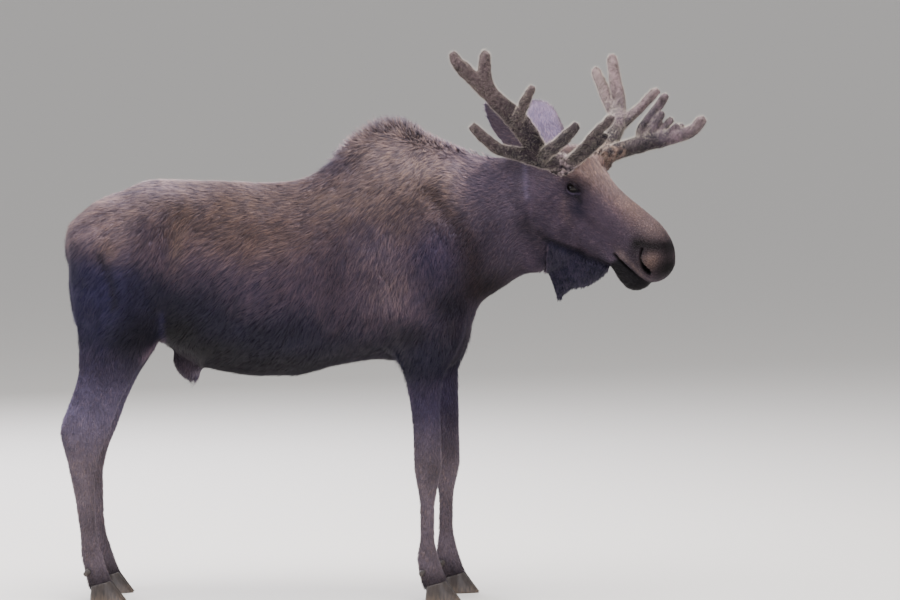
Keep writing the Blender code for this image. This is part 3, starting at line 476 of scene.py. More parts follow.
HEAD_TONES = [
    ((0.50, -0.10), (0.11, 0.11), "#393030", 0.90),
    ((0.08, 0.012), (0.13, 0.050), "#7c675e", 0.90),
    ((0.30, 0.000), (0.16, 0.055), "#6f5b52", 0.90),
    ((0.44, 0.010), (0.06, 0.035), "#6a5953", 0.75),
    ((0.615, -0.075), (0.050, 0.090), "#171314", 0.93),
    ((-0.02, -0.02), (0.10, 0.060), "#6b574c", 0.70),
    ((0.24, -0.120), (0.17, 0.060), "#5d4e57", 0.75),
    ((0.28, -0.240), (0.15, 0.028), "#443b43", 0.60),
    ((0.050, -0.040), (0.035, 0.020), "#8a7672", 0.75),
    ((0.090, -0.076), (0.046, 0.032), "#231e25", 0.95),
    ((0.085, -0.118), (0.030, 0.020), "#2e2833", 0.75),
    ((0.146, -0.134), (0.038, 0.038), "#312c3d", 0.80),
    ((0.430, -0.095), (0.030, 0.040), "#2e282c", 0.55),
    # The nostril wing's own brown, made paler by painted light on the raised wing.
    ((0.524, -0.094), (0.030, 0.040), "#796459", 0.88),
    ((0.580, -0.088), (0.032, 0.050), "#1a1616", 0.90),
    ((0.402, -0.170), (0.038, 0.018), "#8f7c74", 0.80),
    ((0.480, -0.168), (0.050, 0.012), "#7d6b62", 0.70),
    ((0.020, -0.310), (0.120, 0.055), "#2f292f", 0.80),
    # Painted shade over the rear edge of the bell, where it catches the light.
    ((0.165, -0.385), (0.030, 0.060), "#2a2530", 0.85),
]
# The path under the jaw's edge, darkened as painted shade under the jaw.
UNDER_JAW = [(0.12, -0.304), (0.20, -0.294), (0.26, -0.290), (0.30, -0.270), (0.36, -0.247), (0.40, -0.240)]
NOSE_BAND = [(0.43, -0.078), (0.48, -0.048), (0.515, -0.024), (0.56, -0.022), (0.605, -0.05), (0.63, -0.085)]
HEAD_SHADES = [
    # Painted shade under the jaw's edge.
    (UNDER_JAW, 0.012, "#1a171c", 0.80),
    (NOSE_BAND, 0.027, "#171314", 0.93),
    ([(0.083, -0.135), (0.10, -0.168), (0.14, -0.20)], 0.018, "#6d5c5b", 0.50),
    ([(0.10, -0.085), (0.135, -0.100)], 0.010, "#1c181d", 0.70),
    ([(0.066, -0.099), (0.092, -0.097), (0.114, -0.079)], 0.0045, "#7d7088", 0.40),
]
# A violet-blue cast over the whole coat: painted bluish skylight of the shade.
PAINTED_SKY_TINT = (0.98, 1.0, 1.11)


def coat_tone(places, facing):
    """The colour of the coat at each place, from the same spots, lines and noise for skin and hair."""
    ahead, left, up = on_body(places).T
    blotch = mottle(places, 0.16, 11)
    edge = np.interp(ahead, *np.array(LOWER_EDGE).T) + 0.03 * blotch
    colour = np.zeros((len(places), 3)) + linear("#74635e")
    colour = painted(colour, smooth_step(1.66, 1.40, up + 0.03 * blotch) * 0.85, "#504454")
    # Dark below the line, in the navy of painted bluish shade.
    colour = painted(colour, smooth_step(edge + 0.10, edge - 0.07, up), "#292637")
    colour = painted(colour, smooth_step(1.50, 1.72, ahead) * smooth_step(1.15, 1.30, up), "#50454f")
    leg = np.clip(leg_share(places), 0, 1)
    colour = painted(colour, leg, "#463d50")
    colour = painted(colour, smooth_step(1.00, 0.72, up) * leg * smooth_step(0.7, 0.5, ahead), "#6c6272")
    colour = painted(colour, smooth_step(0.80, 0.50, up) * leg, "#76696b")
    colour = painted(colour, smooth_step(0.16, 0.07, up) * leg, "#463d3f")
    body = 1 - head_share(places)
    for spot, radii, code, share in BODY_TONES:
        colour = painted(colour, share * body * near(ahead, up, spot, radii), code)
    ridge = 0.8 * near(ahead, left, (1.36, 0.0), (0.26, 0.05)) * smooth_step(1.70, 1.85, up)
    colour = painted(colour, ridge, "#5a4f59")
    # Darker on the low surfaces that face the floor: the belly's own dark hair and painted shade under the
    # body.
    belly_and_underside_shade = smooth_step(-0.35, -0.85, facing[:, 2]) * smooth_step(0.95, 1.25, 2.2 - up) * body * (1 - leg)
    colour = painted(colour, 0.8 * belly_and_underside_shade, "#232026")
    s, l, u = on_head(places).T
    head = head_share(places)
    colour = painted(colour, head, "#5b4d57")
    for path, width, code, share in BODY_SHADES:
        colour = painted(colour, share * along_path(ahead, up, path, width), code)
    for spot, radii, code, share in HEAD_TONES:
        colour = painted(colour, share * head * near(s, u, spot, radii), code)
    for path, width, code, share in HEAD_SHADES:
        colour = painted(colour, share * head * along_path(s, u, path, width), code)
    chin = smooth_step(-0.186, -0.198, u) * smooth_step(0.372, 0.400, s - 0.4 * (u + 0.2))
    colour = painted(colour, 0.97 * chin * head, "#161415")
    # The bell's dark hair, in the navy of painted bluish shade.
    colour = painted(colour, bell_share(places) * head, "#292535")
    lip_line = along_path(s, u, MOUTH, 0.007) * head
    colour = painted(colour, 0.9 * lip_line, "#151314")
    # Painted shade in the nostril hollow.
    colour = painted(colour, smooth_step(0.004, -0.002, in_nostril(s, u)) * head, "#100e0f")
    rim = np.hypot(s - EYE_FROM_POLL[0], 1.5 * (u - EYE_FROM_POLL[2]))
    colour = painted(colour, 0.9 * smooth_step(0.027, 0.021, rim) * (np.abs(l) > 0.05) * head, "#141112")
    ear = ear_share(places) * head
    turned = -(facing @ head_left) * np.sign(l)
    colour = painted(colour, ear, "#75666c")
    colour = painted(colour, ear * np.exp(-((turned / 0.55) ** 2)), "#3b3138")
    colour = painted(colour, ear * smooth_step(0.25, 0.75, turned) * smooth_step(1.80, 1.88, up), "#716375")
    # The coat takes the painted bluish skylight tint and a soft mottle.
    return colour * PAINTED_SKY_TINT * (1 + 0.10 * mottle(places, 0.05, 12) + 0.07 * blotch)[:, None]


def set_colour(mesh, colour):
    """Stores a colour for each vertex, which the material reads by its name."""
    layer = mesh.color_attributes.new("coat", "FLOAT_COLOR", "POINT")
    opaque = np.column_stack([colour, np.ones(len(colour))])
    layer.data.foreach_set("color", opaque.astype(np.float32).ravel())


def node(tree, kind, links=(), **settings):
    """Adds a shader node. Settings name its properties or its inputs, and links are (output, input) pairs."""
    made = tree.nodes.new(kind)
    for name, value in settings.items():
        if hasattr(made, name):
            setattr(made, name, value)
        else:
            made.inputs[name.replace("_", " ")].default_value = value
    for source, place in links:
        tree.links.new(source, made.inputs[place])
    return made


def new_material(name, **settings):
    """A material of one Principled shader, with its node tree."""
    made = bpy.data.materials.new(name)
    made.use_nodes = True
    shader = made.node_tree.nodes["Principled BSDF"]
    for key, value in settings.items():
        shader.inputs[key.replace("_", " ")].default_value = value
    return made, made.node_tree, shader


points = vectors_of(hide.data.vertices, "co")
normals = vectors_of(hide.data.vertex_normals, "vector")
set_colour(hide.data, coat_tone(points, normals) * 0.82)

# Haired hide: dense short underfur, matt, with a nap of about 3 mm as a fine bump. It carries the markings of
# the hair over it, a little darker.
NAP_SIZE = 0.003
hide_material, tree, shader = new_material("haired hide, tanned", Roughness=0.75, Specular_IOR_Level=0.1)
tone = node(tree, "ShaderNodeAttribute", attribute_name="coat")
place = node(tree, "ShaderNodeTexCoord")
at = [(place.outputs["Object"], "Vector")]
nap = node(tree, "ShaderNodeTexNoise", at, Scale=0.5 / NAP_SIZE, Detail=3.0)
both = [(nap.outputs["Fac"], "Factor"), (tone.outputs["Color"], 6), (tone.outputs["Color"], 7)]
dapple = node(tree, "ShaderNodeMix", both, data_type="RGBA", blend_type="MULTIPLY")
tree.links.new(dapple.outputs[2], shader.inputs["Base Color"])
raised = node(tree, "ShaderNodeBump", [(nap.outputs["Fac"], "Height")], Strength=0.5, Distance=0.002)
tree.links.new(raised.outputs["Normal"], shader.inputs["Normal"])
hide.data.materials.clear()
hide.data.materials.append(hide_material)

# ---- The eyes ----------------------------------------------------------------------------------------------
# Blown glass eyes, near black, set behind the lids: a round ball with a low cornea over a brown iris and a
# level oval pupil.
EYEBALL_SINK = 0.002
IRIS_RADIUS = 0.0150
CORNEA_RISE = 0.0018
PUPIL = (0.0085, 0.0050)
MERIDIANS = 48
PARALLELS = 31
eye_material, tree, shader = new_material(
    "glass eye, blown and painted", Roughness=0.04, Specular_IOR_Level=0.28
)
tone = node(tree, "ShaderNodeAttribute", attribute_name="coat")
tree.links.new(tone.outputs["Color"], shader.inputs["Base Color"])
for side, sign in SIDES.items():
    turns = np.linspace(0, 2 * np.pi, MERIDIANS, endpoint=False)
    turn, rise = np.meshgrid(turns, np.linspace(0, np.pi, PARALLELS + 2)[1:-1])
    reach = EYEBALL_RADIUS * np.sin(rise)
    forward, upward = reach * np.cos(turn), reach * np.sin(turn)
    outward = EYEBALL_RADIUS * np.cos(rise)
    outward = outward + CORNEA_RISE * smooth_step(IRIS_RADIUS, 0.004, reach) * (rise < np.pi / 2)
    grid = np.stack([forward, outward, upward], axis=-1).reshape(-1, 3)
    poles = [[0, EYEBALL_RADIUS + CORNEA_RISE, 0], [0, -EYEBALL_RADIUS, 0]]
    local = np.concatenate([grid, poles])
    rows, columns = np.indices((PARALLELS - 1, MERIDIANS))
    here = (rows * MERIDIANS + columns).ravel()
    beside = (rows * MERIDIANS + (columns + 1) % MERIDIANS).ravel()
    faces = np.stack([here, here + MERIDIANS, beside + MERIDIANS, beside], axis=1).tolist()
    ring = np.arange(MERIDIANS)
    after = (ring + 1) % MERIDIANS
    last = (PARALLELS - 1) * MERIDIANS
    front_pole, back_pole = np.full(MERIDIANS, len(grid)), np.full(MERIDIANS, len(grid) + 1)
    faces += np.stack([front_pole, ring, after], axis=1).tolist()
    faces += np.stack([back_pole, last + after, last + ring], axis=1).tolist()
    axes = np.stack([HEAD_AXES[0], sign * HEAD_AXES[1], HEAD_AXES[2]])
    centre = eye_centres[side] - sign * EYEBALL_SINK * head_left
    mesh = bpy.data.meshes.new(f"eyeball_{side}")
    mesh.from_pydata(local @ axes + centre, [], faces if sign < 0 else [face[::-1] for face in faces])
    mesh.shade_smooth()
    on_iris = np.hypot(local[:, 0], local[:, 2])
    in_pupil = np.hypot(local[:, 0] / PUPIL[0], local[:, 2] / PUPIL[1])
    front = (local[:, 1] > 0).astype(float)
    colour = np.zeros((len(local), 3)) + linear("#120e0e")
    colour = painted(colour, front * smooth_step(IRIS_RADIUS, IRIS_RADIUS - 0.003, on_iris), "#160f0d")
    colour = painted(colour, front * smooth_step(1.15, 0.9, in_pupil), "#050506")
    set_colour(mesh, colour)
    mesh.materials.append(eye_material)
    eyeball = bpy.data.objects.new(f"eyeball_{side}", mesh)
    bpy.context.scene.collection.objects.link(eyeball)
    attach(eyeball, "root")
    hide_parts(f"eye_{side}")

# ---- The coat ----------------------------------------------------------------------------------------------
# Hair in tufts that lie along the body: long on the trunk and neck, bent at the crest and the bell, and short
# on the head, ears and legs. Each has a closed root just under the skin.
ROOT_DEPTH = 0.0015
PATCH = 0.003
hide.data.calc_loop_triangles()
corners = np.empty(len(hide.data.loop_triangles) * 3, np.int32)
hide.data.loop_triangles.foreach_get("vertices", corners)
corners = corners.reshape(-1, 3)
hide_points = vectors_of(hide.data.vertices, "co")
hide_normals = vectors_of(hide.data.vertex_normals, "vector")
face_middles = hide_points[corners].mean(axis=1)
first, second, third = (hide_points[corners[:, i]] for i in range(3))
face_facing = np.cross(second - first, third - first)
face_areas = np.linalg.norm(face_facing, axis=1) / 2
face_facing /= np.maximum(np.linalg.norm(face_facing, axis=1), 1e-12)[:, None]


def scatter(each, weight, dice):
    """Random roots on the hide, one for each this many square metres times the weight: (places, normals)."""
    share = face_areas * weight
    count = int(share.sum() / each)
    chosen = dice.choice(len(corners), count, p=share / share.sum())
    mix = dice.dirichlet((1, 1, 1), count)[:, :, None]
    roots = (hide_points[corners[chosen]] * mix).sum(axis=1)
    facing = (hide_normals[corners[chosen]] * mix).sum(axis=1)
    return roots, facing / np.linalg.norm(facing, axis=1)[:, None]


def lie_of(places, facing, dice, stray):
    """The way the hair lies: back along the trunk, down its sides and legs, and away from the nose."""
    ahead, left, up = on_body(places).T
    leg = np.clip(leg_share(places), 0, 1)
    side = np.abs(facing[:, 1])
    down = 0.12 + 1.25 * side * smooth_step(1.70, 1.42, up)
    down += 1.3 * side * smooth_step(0.95, 1.25, ahead) * smooth_step(1.62, 1.45, ahead)
    down += 1.2 * side * smooth_step(0.35, 0.15, ahead) * smooth_step(1.50, 1.30, up)
    down += 6.0 * leg - 1.1 * mane_share(places)
    way = np.stack([-np.ones(len(places)), 0.12 * np.sign(left) * (1 - side), -down], axis=1)
    head = head_share(places)
    s, l, u = on_head(places).T
    droop = (0.25 + 0.9 * smooth_step(0.10, -0.05, s)) * smooth_step(-0.05, -0.18, u)
    face = -HEAD_AXES[0] - droop[:, None] * HEAD_AXES[2]
    face = face + (np.array((-0.1, 0, -1.0)) - face) * bell_share(places)[:, None]
    ear = ear_share(places)[:, None]
    tip = -0.19 * head_level + 0.17 * np.sign(l)[:, None] * head_left + (0, 0, 0.27)
    face = face + (tip * 3 - face) * ear
    way = way + (face - way) * (head * np.maximum(smooth_step(-0.04, 0.14, s), ear[:, 0]))[:, None]
    way -= facing * (way * facing).sum(axis=1)[:, None]
    way /= np.linalg.norm(way, axis=1)[:, None]
    swirl = dice.normal(0, stray, len(places)) + 0.22 * mottle(places, 0.12, 21)
    return way * np.cos(swirl)[:, None] + np.cross(facing, way) * np.sin(swirl)[:, None]


def hair(name, roots, facing, way, sizes, tones, chart, bent):
    """Joined tufts. A tuft is a three-sided taper from a closed root, bent once if asked, to a point.

    The middle lies half the length along the way and its lift out from the root, the tip the whole length.
    """
    length, width, lift_middle, lift_tip = (np.broadcast_to(size, len(roots))[:, None] for size in sizes)
    across = np.cross(facing, way)
    base = roots - facing * ROOT_DEPTH
    middle = roots + way * length * 0.5 + facing * lift_middle
    tip = roots + way * length + facing * lift_tip
    ring = [(-0.5, 0.0), (0.5, 0.0), (0.0, 0.45)]
    stations = [(base, 0.7)] + [(middle, 1.0)] * bent
    rows = [
        place + across * width * (a * wide) + facing * width * (b * wide)
        for place, wide in stations
        for a, b in ring
    ]
    body = np.stack(rows + [tip], axis=1)
    each = body.shape[1]
    faces = [(0, 2, 1)]
    for level in range(len(stations) - 1):
        for i in range(3):
            here, beside = level * 3 + i, level * 3 + (i + 1) % 3
            faces += [(here, beside, beside + 3), (here, beside + 3, here + 3)]
    last = (len(stations) - 1) * 3
    faces += [(last + i, last + (i + 1) % 3, each - 1) for i in range(3)]
    faces = np.array(faces)
    indices = (np.arange(len(roots))[:, None, None] * each + faces).reshape(-1, 3)
    mesh = bpy.data.meshes.new(name)
    mesh.vertices.add(len(roots) * each)
    mesh.vertices.foreach_set("co", body.astype(np.float32).ravel())
    mesh.loops.add(indices.size)
    mesh.loops.foreach_set("vertex_index", indices.astype(np.int32).ravel())
    mesh.polygons.add(len(indices))
    mesh.polygons.foreach_set("loop_start", np.arange(0, indices.size, 3, dtype=np.int32))
    mesh.update(calc_edges=True)
    mesh.shade_smooth()
    root_tone, tip_tone = tones
    share = np.array([0.0] * 3 + [0.6] * 3 * bent + [1.0])[None, :, None]
    set_colour(mesh, (root_tone[:, None] * (1 - share) + tip_tone[:, None] * share).reshape(-1, 3))
    around = np.array([0.1, 0.9, 0.5] * len(stations) + [0.5]) - 0.5
    along = np.repeat(np.linspace(0, 1, len(stations) + 1), [3] * len(stations) + [1]) - 0.5
    u = chart[0][:, None] + PATCH * around
    v = chart[1][:, None] + PATCH * along
    unwrap = np.stack([u, v], axis=2).reshape(-1, 2)[indices.ravel()]
    layer = mesh.uv_layers.new(name="OFBake")
    layer.data.foreach_set("uv", unwrap.astype(np.float32).ravel())
    made = bpy.data.objects.new(name, mesh)
    bpy.context.scene.collection.objects.link(made)
    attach(made, "root")
    return made


def shown_at(roots, way, length):
    """Where the part of each tuft that shows lies: seven tenths of the way to its tip."""
    return roots + way * (0.7 * length)[:, None]


def spread(values):
    """Values brought to between 0.01 and 0.99."""
    low, high = values.min(), values.max()
    return 0.01 + 0.98 * (values - low) / max(high - low, 1e-6)


def round_trunk(places):
    """A chart of the trunk: how far ahead, and how far round its long axis."""
    ahead, left, up = on_body(places).T
    return spread(ahead), spread(np.arctan2(np.abs(left), up - 1.25))


# Tufts are darker and bluer at the root, painted shade deep in the coat, and paler along their length; the
# hair gathers in locks about 8 mm wide, some pale.
LOCK_WIDTH = 0.008
coat_material, tree, shader = new_material("moose hair, brushed", Roughness=0.55, Specular_IOR_Level=0.14)
shader.inputs["Sheen Weight"].default_value = 0.03
shader.inputs["Sheen Roughness"].default_value = 0.5
tone = node(tree, "ShaderNodeAttribute", attribute_name="coat")
tree.links.new(tone.outputs["Color"], shader.inputs["Base Color"])


def streaked(tone, roots, dice, contrast, lock=LOCK_WIDTH):
    """Root and tip colours of tufts; the root colour is darker and bluer, painted shade deep in the coat.
    Neighbours share a tone, so that locks show, and single hairs vary.
    """
    locks = 0.80 * mottle(roots, lock, 22) + 0.22 * mottle(roots, 2.6 * lock, 23)
    locks = locks + dice.normal(0, 0.38, len(tone))
    tip = tone * np.clip(1 + contrast * locks, 0.38, 2.0)[:, None]
    warm = np.array([1.06, 1.0, 0.88]) ** np.clip(2 * locks, -1.5, 2)[:, None]
    # The darker, bluer root colour is painted shade deep in the coat.
    return tone * (0.66, 0.66, 0.74), tip * warm


TRUNK_BANDS = {"rump": (-0.1, 0.45), "flank": (0.45, 0.93), "shoulder": (0.93, 1.42), "neck": (1.42, 2.6)}
# The area of skin in square metres that each tuft has to itself.
TRUNK_TUFT = 0.0000195
dice = np.random.default_rng(5)
ahead, left, up = on_body(face_middles).T
trunk_weight = (1 - head_share(face_middles)) * (1 - np.clip(leg_share(face_middles), 0, 1))
for band, (start, end) in TRUNK_BANDS.items():
    for side, sign in SIDES.items():
        here = (ahead >= start) & (ahead < end) & (left * sign > 0)
        roots, facing = scatter(TRUNK_TUFT, trunk_weight * here, dice)
        way = lie_of(roots, facing, dice, 0.16)
        count = len(roots)
        crest = mane_share(roots)
        nape = smooth_step(-0.55, -0.20, (roots - poll) @ head_level)
        length = dice.uniform(0.034, 0.056, count) * (1 + 0.5 * crest) * (1 - 0.5 * nape)
        lift = coat_depth(roots) * dice.uniform(0.25, 0.85, count) * (1 - 0.4 * nape)
        lift *= 1 + 0.35 * mottle(roots, LOCK_WIDTH, 22)
        sizes = (length, dice.uniform(0.0034, 0.0052, count) * (1 - 0.3 * nape), 0.5 * lift, lift)
        tones = streaked(coat_tone(shown_at(roots, way, length), facing), roots, dice, 1.00)
        made = hair(f"coat_{band}_{side}", roots, facing, way, sizes, tones, round_trunk(roots), False)
        made.data.materials.append(coat_material)

# The crest of the hump stands up in dark spikes, which grow short towards the nape.
CREST_TUFT = 0.0000115
dice = np.random.default_rng(6)
ahead, left, up = on_body(face_middles).T
standing = near(ahead, left, (1.40, 0.0), (0.20, 0.040))
standing = standing * (1 - 0.8 * smooth_step(1.58, 1.70, ahead)) * trunk_weight
roots, facing = scatter(CREST_TUFT, standing * (up > 1.6) * (ahead > 1.12), dice)
way = lie_of(roots, facing, dice, 0.45)
count = len(roots)
ahead, left, up = on_body(roots).T
tall = near(ahead, left, (1.34, 0.0), (0.13, 0.05))
length = dice.uniform(0.020, 0.045, count)
rise = dice.uniform(0.85, 1.35, count) * coat_depth(roots) + 0.006 + 0.008 * tall
sizes = (length, dice.uniform(0.003, 0.0055, count), 0.5 * rise, rise)
darker = coat_tone(shown_at(roots, way, length), facing) * (1 - 0.30 * tall)[:, None]
tones = streaked(darker, roots, dice, 0.8)
crest = hair("coat_crest", roots, facing, way, sizes, tones, (spread(ahead), spread(left)), True)
crest.data.materials.append(coat_material)

# The bell hangs in long, nearly black locks that point at the floor.
BELL_TUFT = 0.000010
dice = np.random.default_rng(7)
bell_weight = smooth_step(0.45, 0.85, bell_share(face_middles)) * head_share(face_middles)
roots, facing = scatter(BELL_TUFT, bell_weight, dice)
way = lie_of(roots, facing, dice, 0.15) - (0, 0, 1.0)
way /= np.linalg.norm(way, axis=1)[:, None]
count = len(roots)
length = dice.uniform(0.016, 0.032, count)
sizes = (length, dice.uniform(0.003, 0.005, count), 0.006, dice.uniform(0.004, 0.011, count))
tones = streaked(coat_tone(shown_at(roots, way, length), facing), roots, dice, 0.9)
chart = (spread(roots[:, 0]), spread(np.arctan2((roots - poll) @ head_left, roots[:, 2] - 1.33)))
bell_hair = hair("coat_bell", roots, facing, way, sizes, tones, chart, True)
bell_hair.data.materials.append(coat_material)

# Face hair is under a centimetre long at the muzzle and a couple of centimetres at the jaw and the forehead.
HEAD_TUFT = 0.0000125
dice = np.random.default_rng(8)


def open_skin(places):
    """1 where no hair grows: in the nostrils, between the lips and over the eyes."""
    s, l, u = on_head(places).T
    from_eye = np.hypot(s - EYE_FROM_POLL[0], (u - EYE_FROM_POLL[2]) * 1.5)
    lids = smooth_step(0.028, 0.022, from_eye) * (np.abs(l) > 0.06)
    bare = smooth_step(0.004, 0.001, in_nostril(s, u)) + smooth_step(0.007, 0.004, to_path(s, u, MOUTH))
    return np.clip((lids + bare) * head_share(places), 0, 1)


head_weight = head_share(face_middles) * (1 - ear_share(face_middles)) * (1 - open_skin(face_middles))
for side, sign in SIDES.items():
    roots, facing = scatter(HEAD_TUFT, head_weight * ((face_middles - poll) @ head_left * sign > 0), dice)
    way = lie_of(roots, facing, dice, 0.18)
    count = len(roots)
    s, l, u = on_head(roots).T
    longer = smooth_step(0.35, 0.0, s)
    length = dice.uniform(0.7, 1.3, count) * (0.008 + 0.014 * longer + 0.006 * smooth_step(-0.10, -0.25, u))
    length *= 1 - 0.5 * near(s, u, (0.08, -0.078), (0.05, 0.04))
    tousled = near(s, l, (-0.01, 0.0), (0.07, 0.10)) * smooth_step(-0.06, 0.0, u)
    length += 0.016 * tousled
    sizes = (length, dice.uniform(0.0014, 0.0026, count), 0.001, (0.12 + 0.45 * tousled) * length + 0.0012)
    tones = streaked(coat_tone(shown_at(roots, way, length), facing), roots, dice, 0.95, 0.006)
    chart = (spread(s), spread(np.arctan2(u + 0.11, np.abs(l))))
    made = hair(f"coat_head_{side}", roots, facing, way, sizes, tones, chart, False)
    made.data.materials.append(coat_material)

# Ear hair is one to two centimetres long and lies towards the tip, inside and out.
EAR_TUFT = 0.000010
for side, sign in SIDES.items():
    here = ear_share(face_middles) * head_share(face_middles) * ((face_middles - poll) @ head_left * sign > 0)
    roots, facing = scatter(EAR_TUFT, here, dice)
    way = lie_of(roots, facing, dice, 0.25)
    count = len(roots)
    length = dice.uniform(0.010, 0.021, count)
    sizes = (length, dice.uniform(0.0013, 0.0024, count), 0.001, 0.20 * length + 0.001)
    tones = streaked(coat_tone(shown_at(roots, way, length), facing), roots, dice, 1.05, 0.005)
    chart = (spread(roots[:, 2]), spread(np.arctan2(facing[:, 1], facing[:, 0])))
    made = hair(f"coat_ear_{side}", roots, facing, way, sizes, tones, chart, False)
    made.data.materials.append(coat_material)

# Leg hair is short and flat and points at the hooves, and it hangs over the coronet.
LEG_TUFT = 0.000034
dice = np.random.default_rng(9)
ahead, left, up = on_body(face_middles).T
legs = np.clip(leg_share(face_middles), 0, 1) * (1 - head_share(face_middles))
for name, fore in (("foreleg", True), ("hind_leg", False)):
    for side, sign in SIDES.items():
        here = ((ahead > 0.9) == fore) & (left * sign > 0)
        roots, facing = scatter(LEG_TUFT, legs * here, dice)
        way = lie_of(roots, facing, dice, 0.12)
        count = len(roots)
        foot = smooth_step(0.16, 0.08, roots[:, 2])
        length = dice.uniform(0.016, 0.028, count) * (1 - 0.25 * foot)
        sizes = (length, dice.uniform(0.0024, 0.0040, count), 0.001, 0.10 * length + 0.0015 + 0.002 * foot)
        tones = streaked(coat_tone(shown_at(roots, way, length), facing), roots, dice, 0.50, 0.008)
        x, y, z = roots.T
        core = np.interp(z, [0, 0.9], [x.min() + 0.1, x.mean()])
        chart = (spread(z), spread(np.arctan2(y - y.mean(), x - core)))
        made = hair(f"coat_{name}_{side}", roots, facing, way, sizes, tones, chart, False)
        made.data.materials.append(coat_material)

# ---- The antlers -------------------------------------------------------------------------------------------
# Growing antlers in velvet: soft rounded beams and tines, lumpy from the vessels under a short dense nap
# with near-white tips painted as backlit rim light, and a rough burr at each root.
ANTLER_NODES = {
    "right": ["burr", "palm", "rear_tine", "front_tine", "brow"],
    "left": ["burr", "palm", "brow"],
}
ANTLER_VOXEL = 0.0038
VELVET_DEPTH = 0.0060
VELVET_HAIRS = 19000
velvet_material, tree, shader = new_material("antler velvet, growing", Roughness=0.85, Specular_IOR_Level=0.2)
shader.inputs["Sheen Weight"].default_value = 0.65
shader.inputs["Sheen Roughness"].default_value = 0.20
shader.inputs["Sheen Tint"].default_value = (*linear("#e6d6c8"), 1)
tone = node(tree, "ShaderNodeAttribute", attribute_name="coat")
tree.links.new(tone.outputs["Color"], shader.inputs["Base Color"])
place = node(tree, "ShaderNodeTexCoord")
nap = node(tree, "ShaderNodeTexNoise", [(place.outputs["Object"], "Vector")], Scale=260.0, Detail=3.0)
raised = node(tree, "ShaderNodeBump", [(nap.outputs["Fac"], "Height")], Strength=0.6, Distance=0.0015)
tree.links.new(raised.outputs["Normal"], shader.inputs["Normal"])


BURR_TONES = {"right": "#85757a", "left": "#6b584f"}
FAR_PALENESS = {"right": 0.15, "left": 1.9}


def velvet_tone(places, side):
    """Dark grey-brown, mottled, and paler towards the tips of the tines."""
    reach = np.linalg.norm(places - poll, axis=1)
    colour = np.zeros((len(places), 3)) + linear("#1a161c")
    colour = painted(colour, 0.30 + 0.25 * mottle(places, 0.040, 31), "#342a2f")
    colour = painted(colour, 0.45 * smooth_step(0.35, 0.60, reach), "#443937")
    burr = smooth_step(0.235, 0.190, reach) * (0.35 + 0.45 * mottle(places, 0.014, 37))
    colour = painted(colour, burr, BURR_TONES[side])
    pale = FAR_PALENESS[side] * smooth_step(0.30, 0.42, reach) + 0.6 * smooth_step(0.42, 0.62, reach)
    colour *= 1 + pale[:, None]
    speckle = 1 + 0.30 * mottle(places, 0.005, 32) + 0.15 * mottle(places, 0.010, 36)
    return colour * np.clip(speckle, 0.2, 2)[:, None]


BURR_FROM_POLL = (0.02, 0.145, -0.02)
# Swelling the solids and shrinking them back fills the webs between tines, and the burr's lumps stand proud.
WEB_FILL = {"right": 0.008, "left": 0.003}
BURR_LUMPS = {"right": 0.0085, "left": 0.0030}
dice = np.random.default_rng(10)
for side in SIDES:
    nodes = [f"antler_{side}_{piece}" for piece in ANTLER_NODES[side]]
    antler = closed_over(f"antler_{side}", nodes, WEB_FILL[side], ANTLER_VOXEL)
    shrink = antler.modifiers.new("Shrink back", "DISPLACE")
    shrink.strength = VELVET_DEPTH - WEB_FILL[side]
    shrink.mid_level = 0
    fuse = antler.modifiers.new("Fuse", "REMESH")
    fuse.mode = "VOXEL"
    fuse.voxel_size = ANTLER_VOXEL
    applied(antler)
    points = vectors_of(antler.data.vertices, "co")
    points = eased(points, ends_of(antler.data), np.full(len(points), 0.5), 12, 0.8)
    move_points(antler.data, points)
    normals = vectors_of(antler.data.vertex_normals, "vector")
    from_burr = on_head(points) - np.array(BURR_FROM_POLL) * (1, SIDES[side], 1)
    rough = smooth_step(0.085, 0.050, np.linalg.norm(from_burr, axis=1))
    lumps = 0.0012 * mottle(points, 0.030, 33) + (0.0005 + 0.0020 * rough) * mottle(points, 0.011, 34)
    lumps += BURR_LUMPS[side] * rough * mottle(points, 0.020, 35)
    points = points + normals * lumps[:, None]
    move_points(antler.data, points)
    antler.data.shade_smooth()
    normals = vectors_of(antler.data.vertex_normals, "vector")
    set_colour(antler.data, velvet_tone(points, side))
    antler.data.materials.clear()
    antler.data.materials.append(velvet_material)
    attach(antler, "root")
    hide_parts(*nodes)
    chosen = dice.choice(len(points), min(VELVET_HAIRS, len(points)), replace=False)
    roots, facing = points[chosen], normals[chosen]
    wild = dice.normal(size=roots.shape)
    way = wild - facing * (wild * facing).sum(axis=1)[:, None]
    way /= np.linalg.norm(way, axis=1)[:, None]
    count = len(roots)
    length, width = dice.uniform(0.0005, 0.004, count), dice.uniform(0.0011, 0.0018, count)
    sizes = (length, width, 0.001, dice.uniform(0.0045, 0.0095, count))
    nap_tone = velvet_tone(roots, side)
    # The fuzz's near-white tips are painted backlit rim light.
    tones = (nap_tone, nap_tone * 0.2 + linear("#e6d8c6"))
    chart = (spread(roots[:, 2]), spread(np.arctan2(facing[:, 1], facing[:, 0])))
    fuzz = hair(f"velvet_{side}", roots, facing, way, sizes, tones, chart, False)
    fuzz.data.materials.append(coat_material)

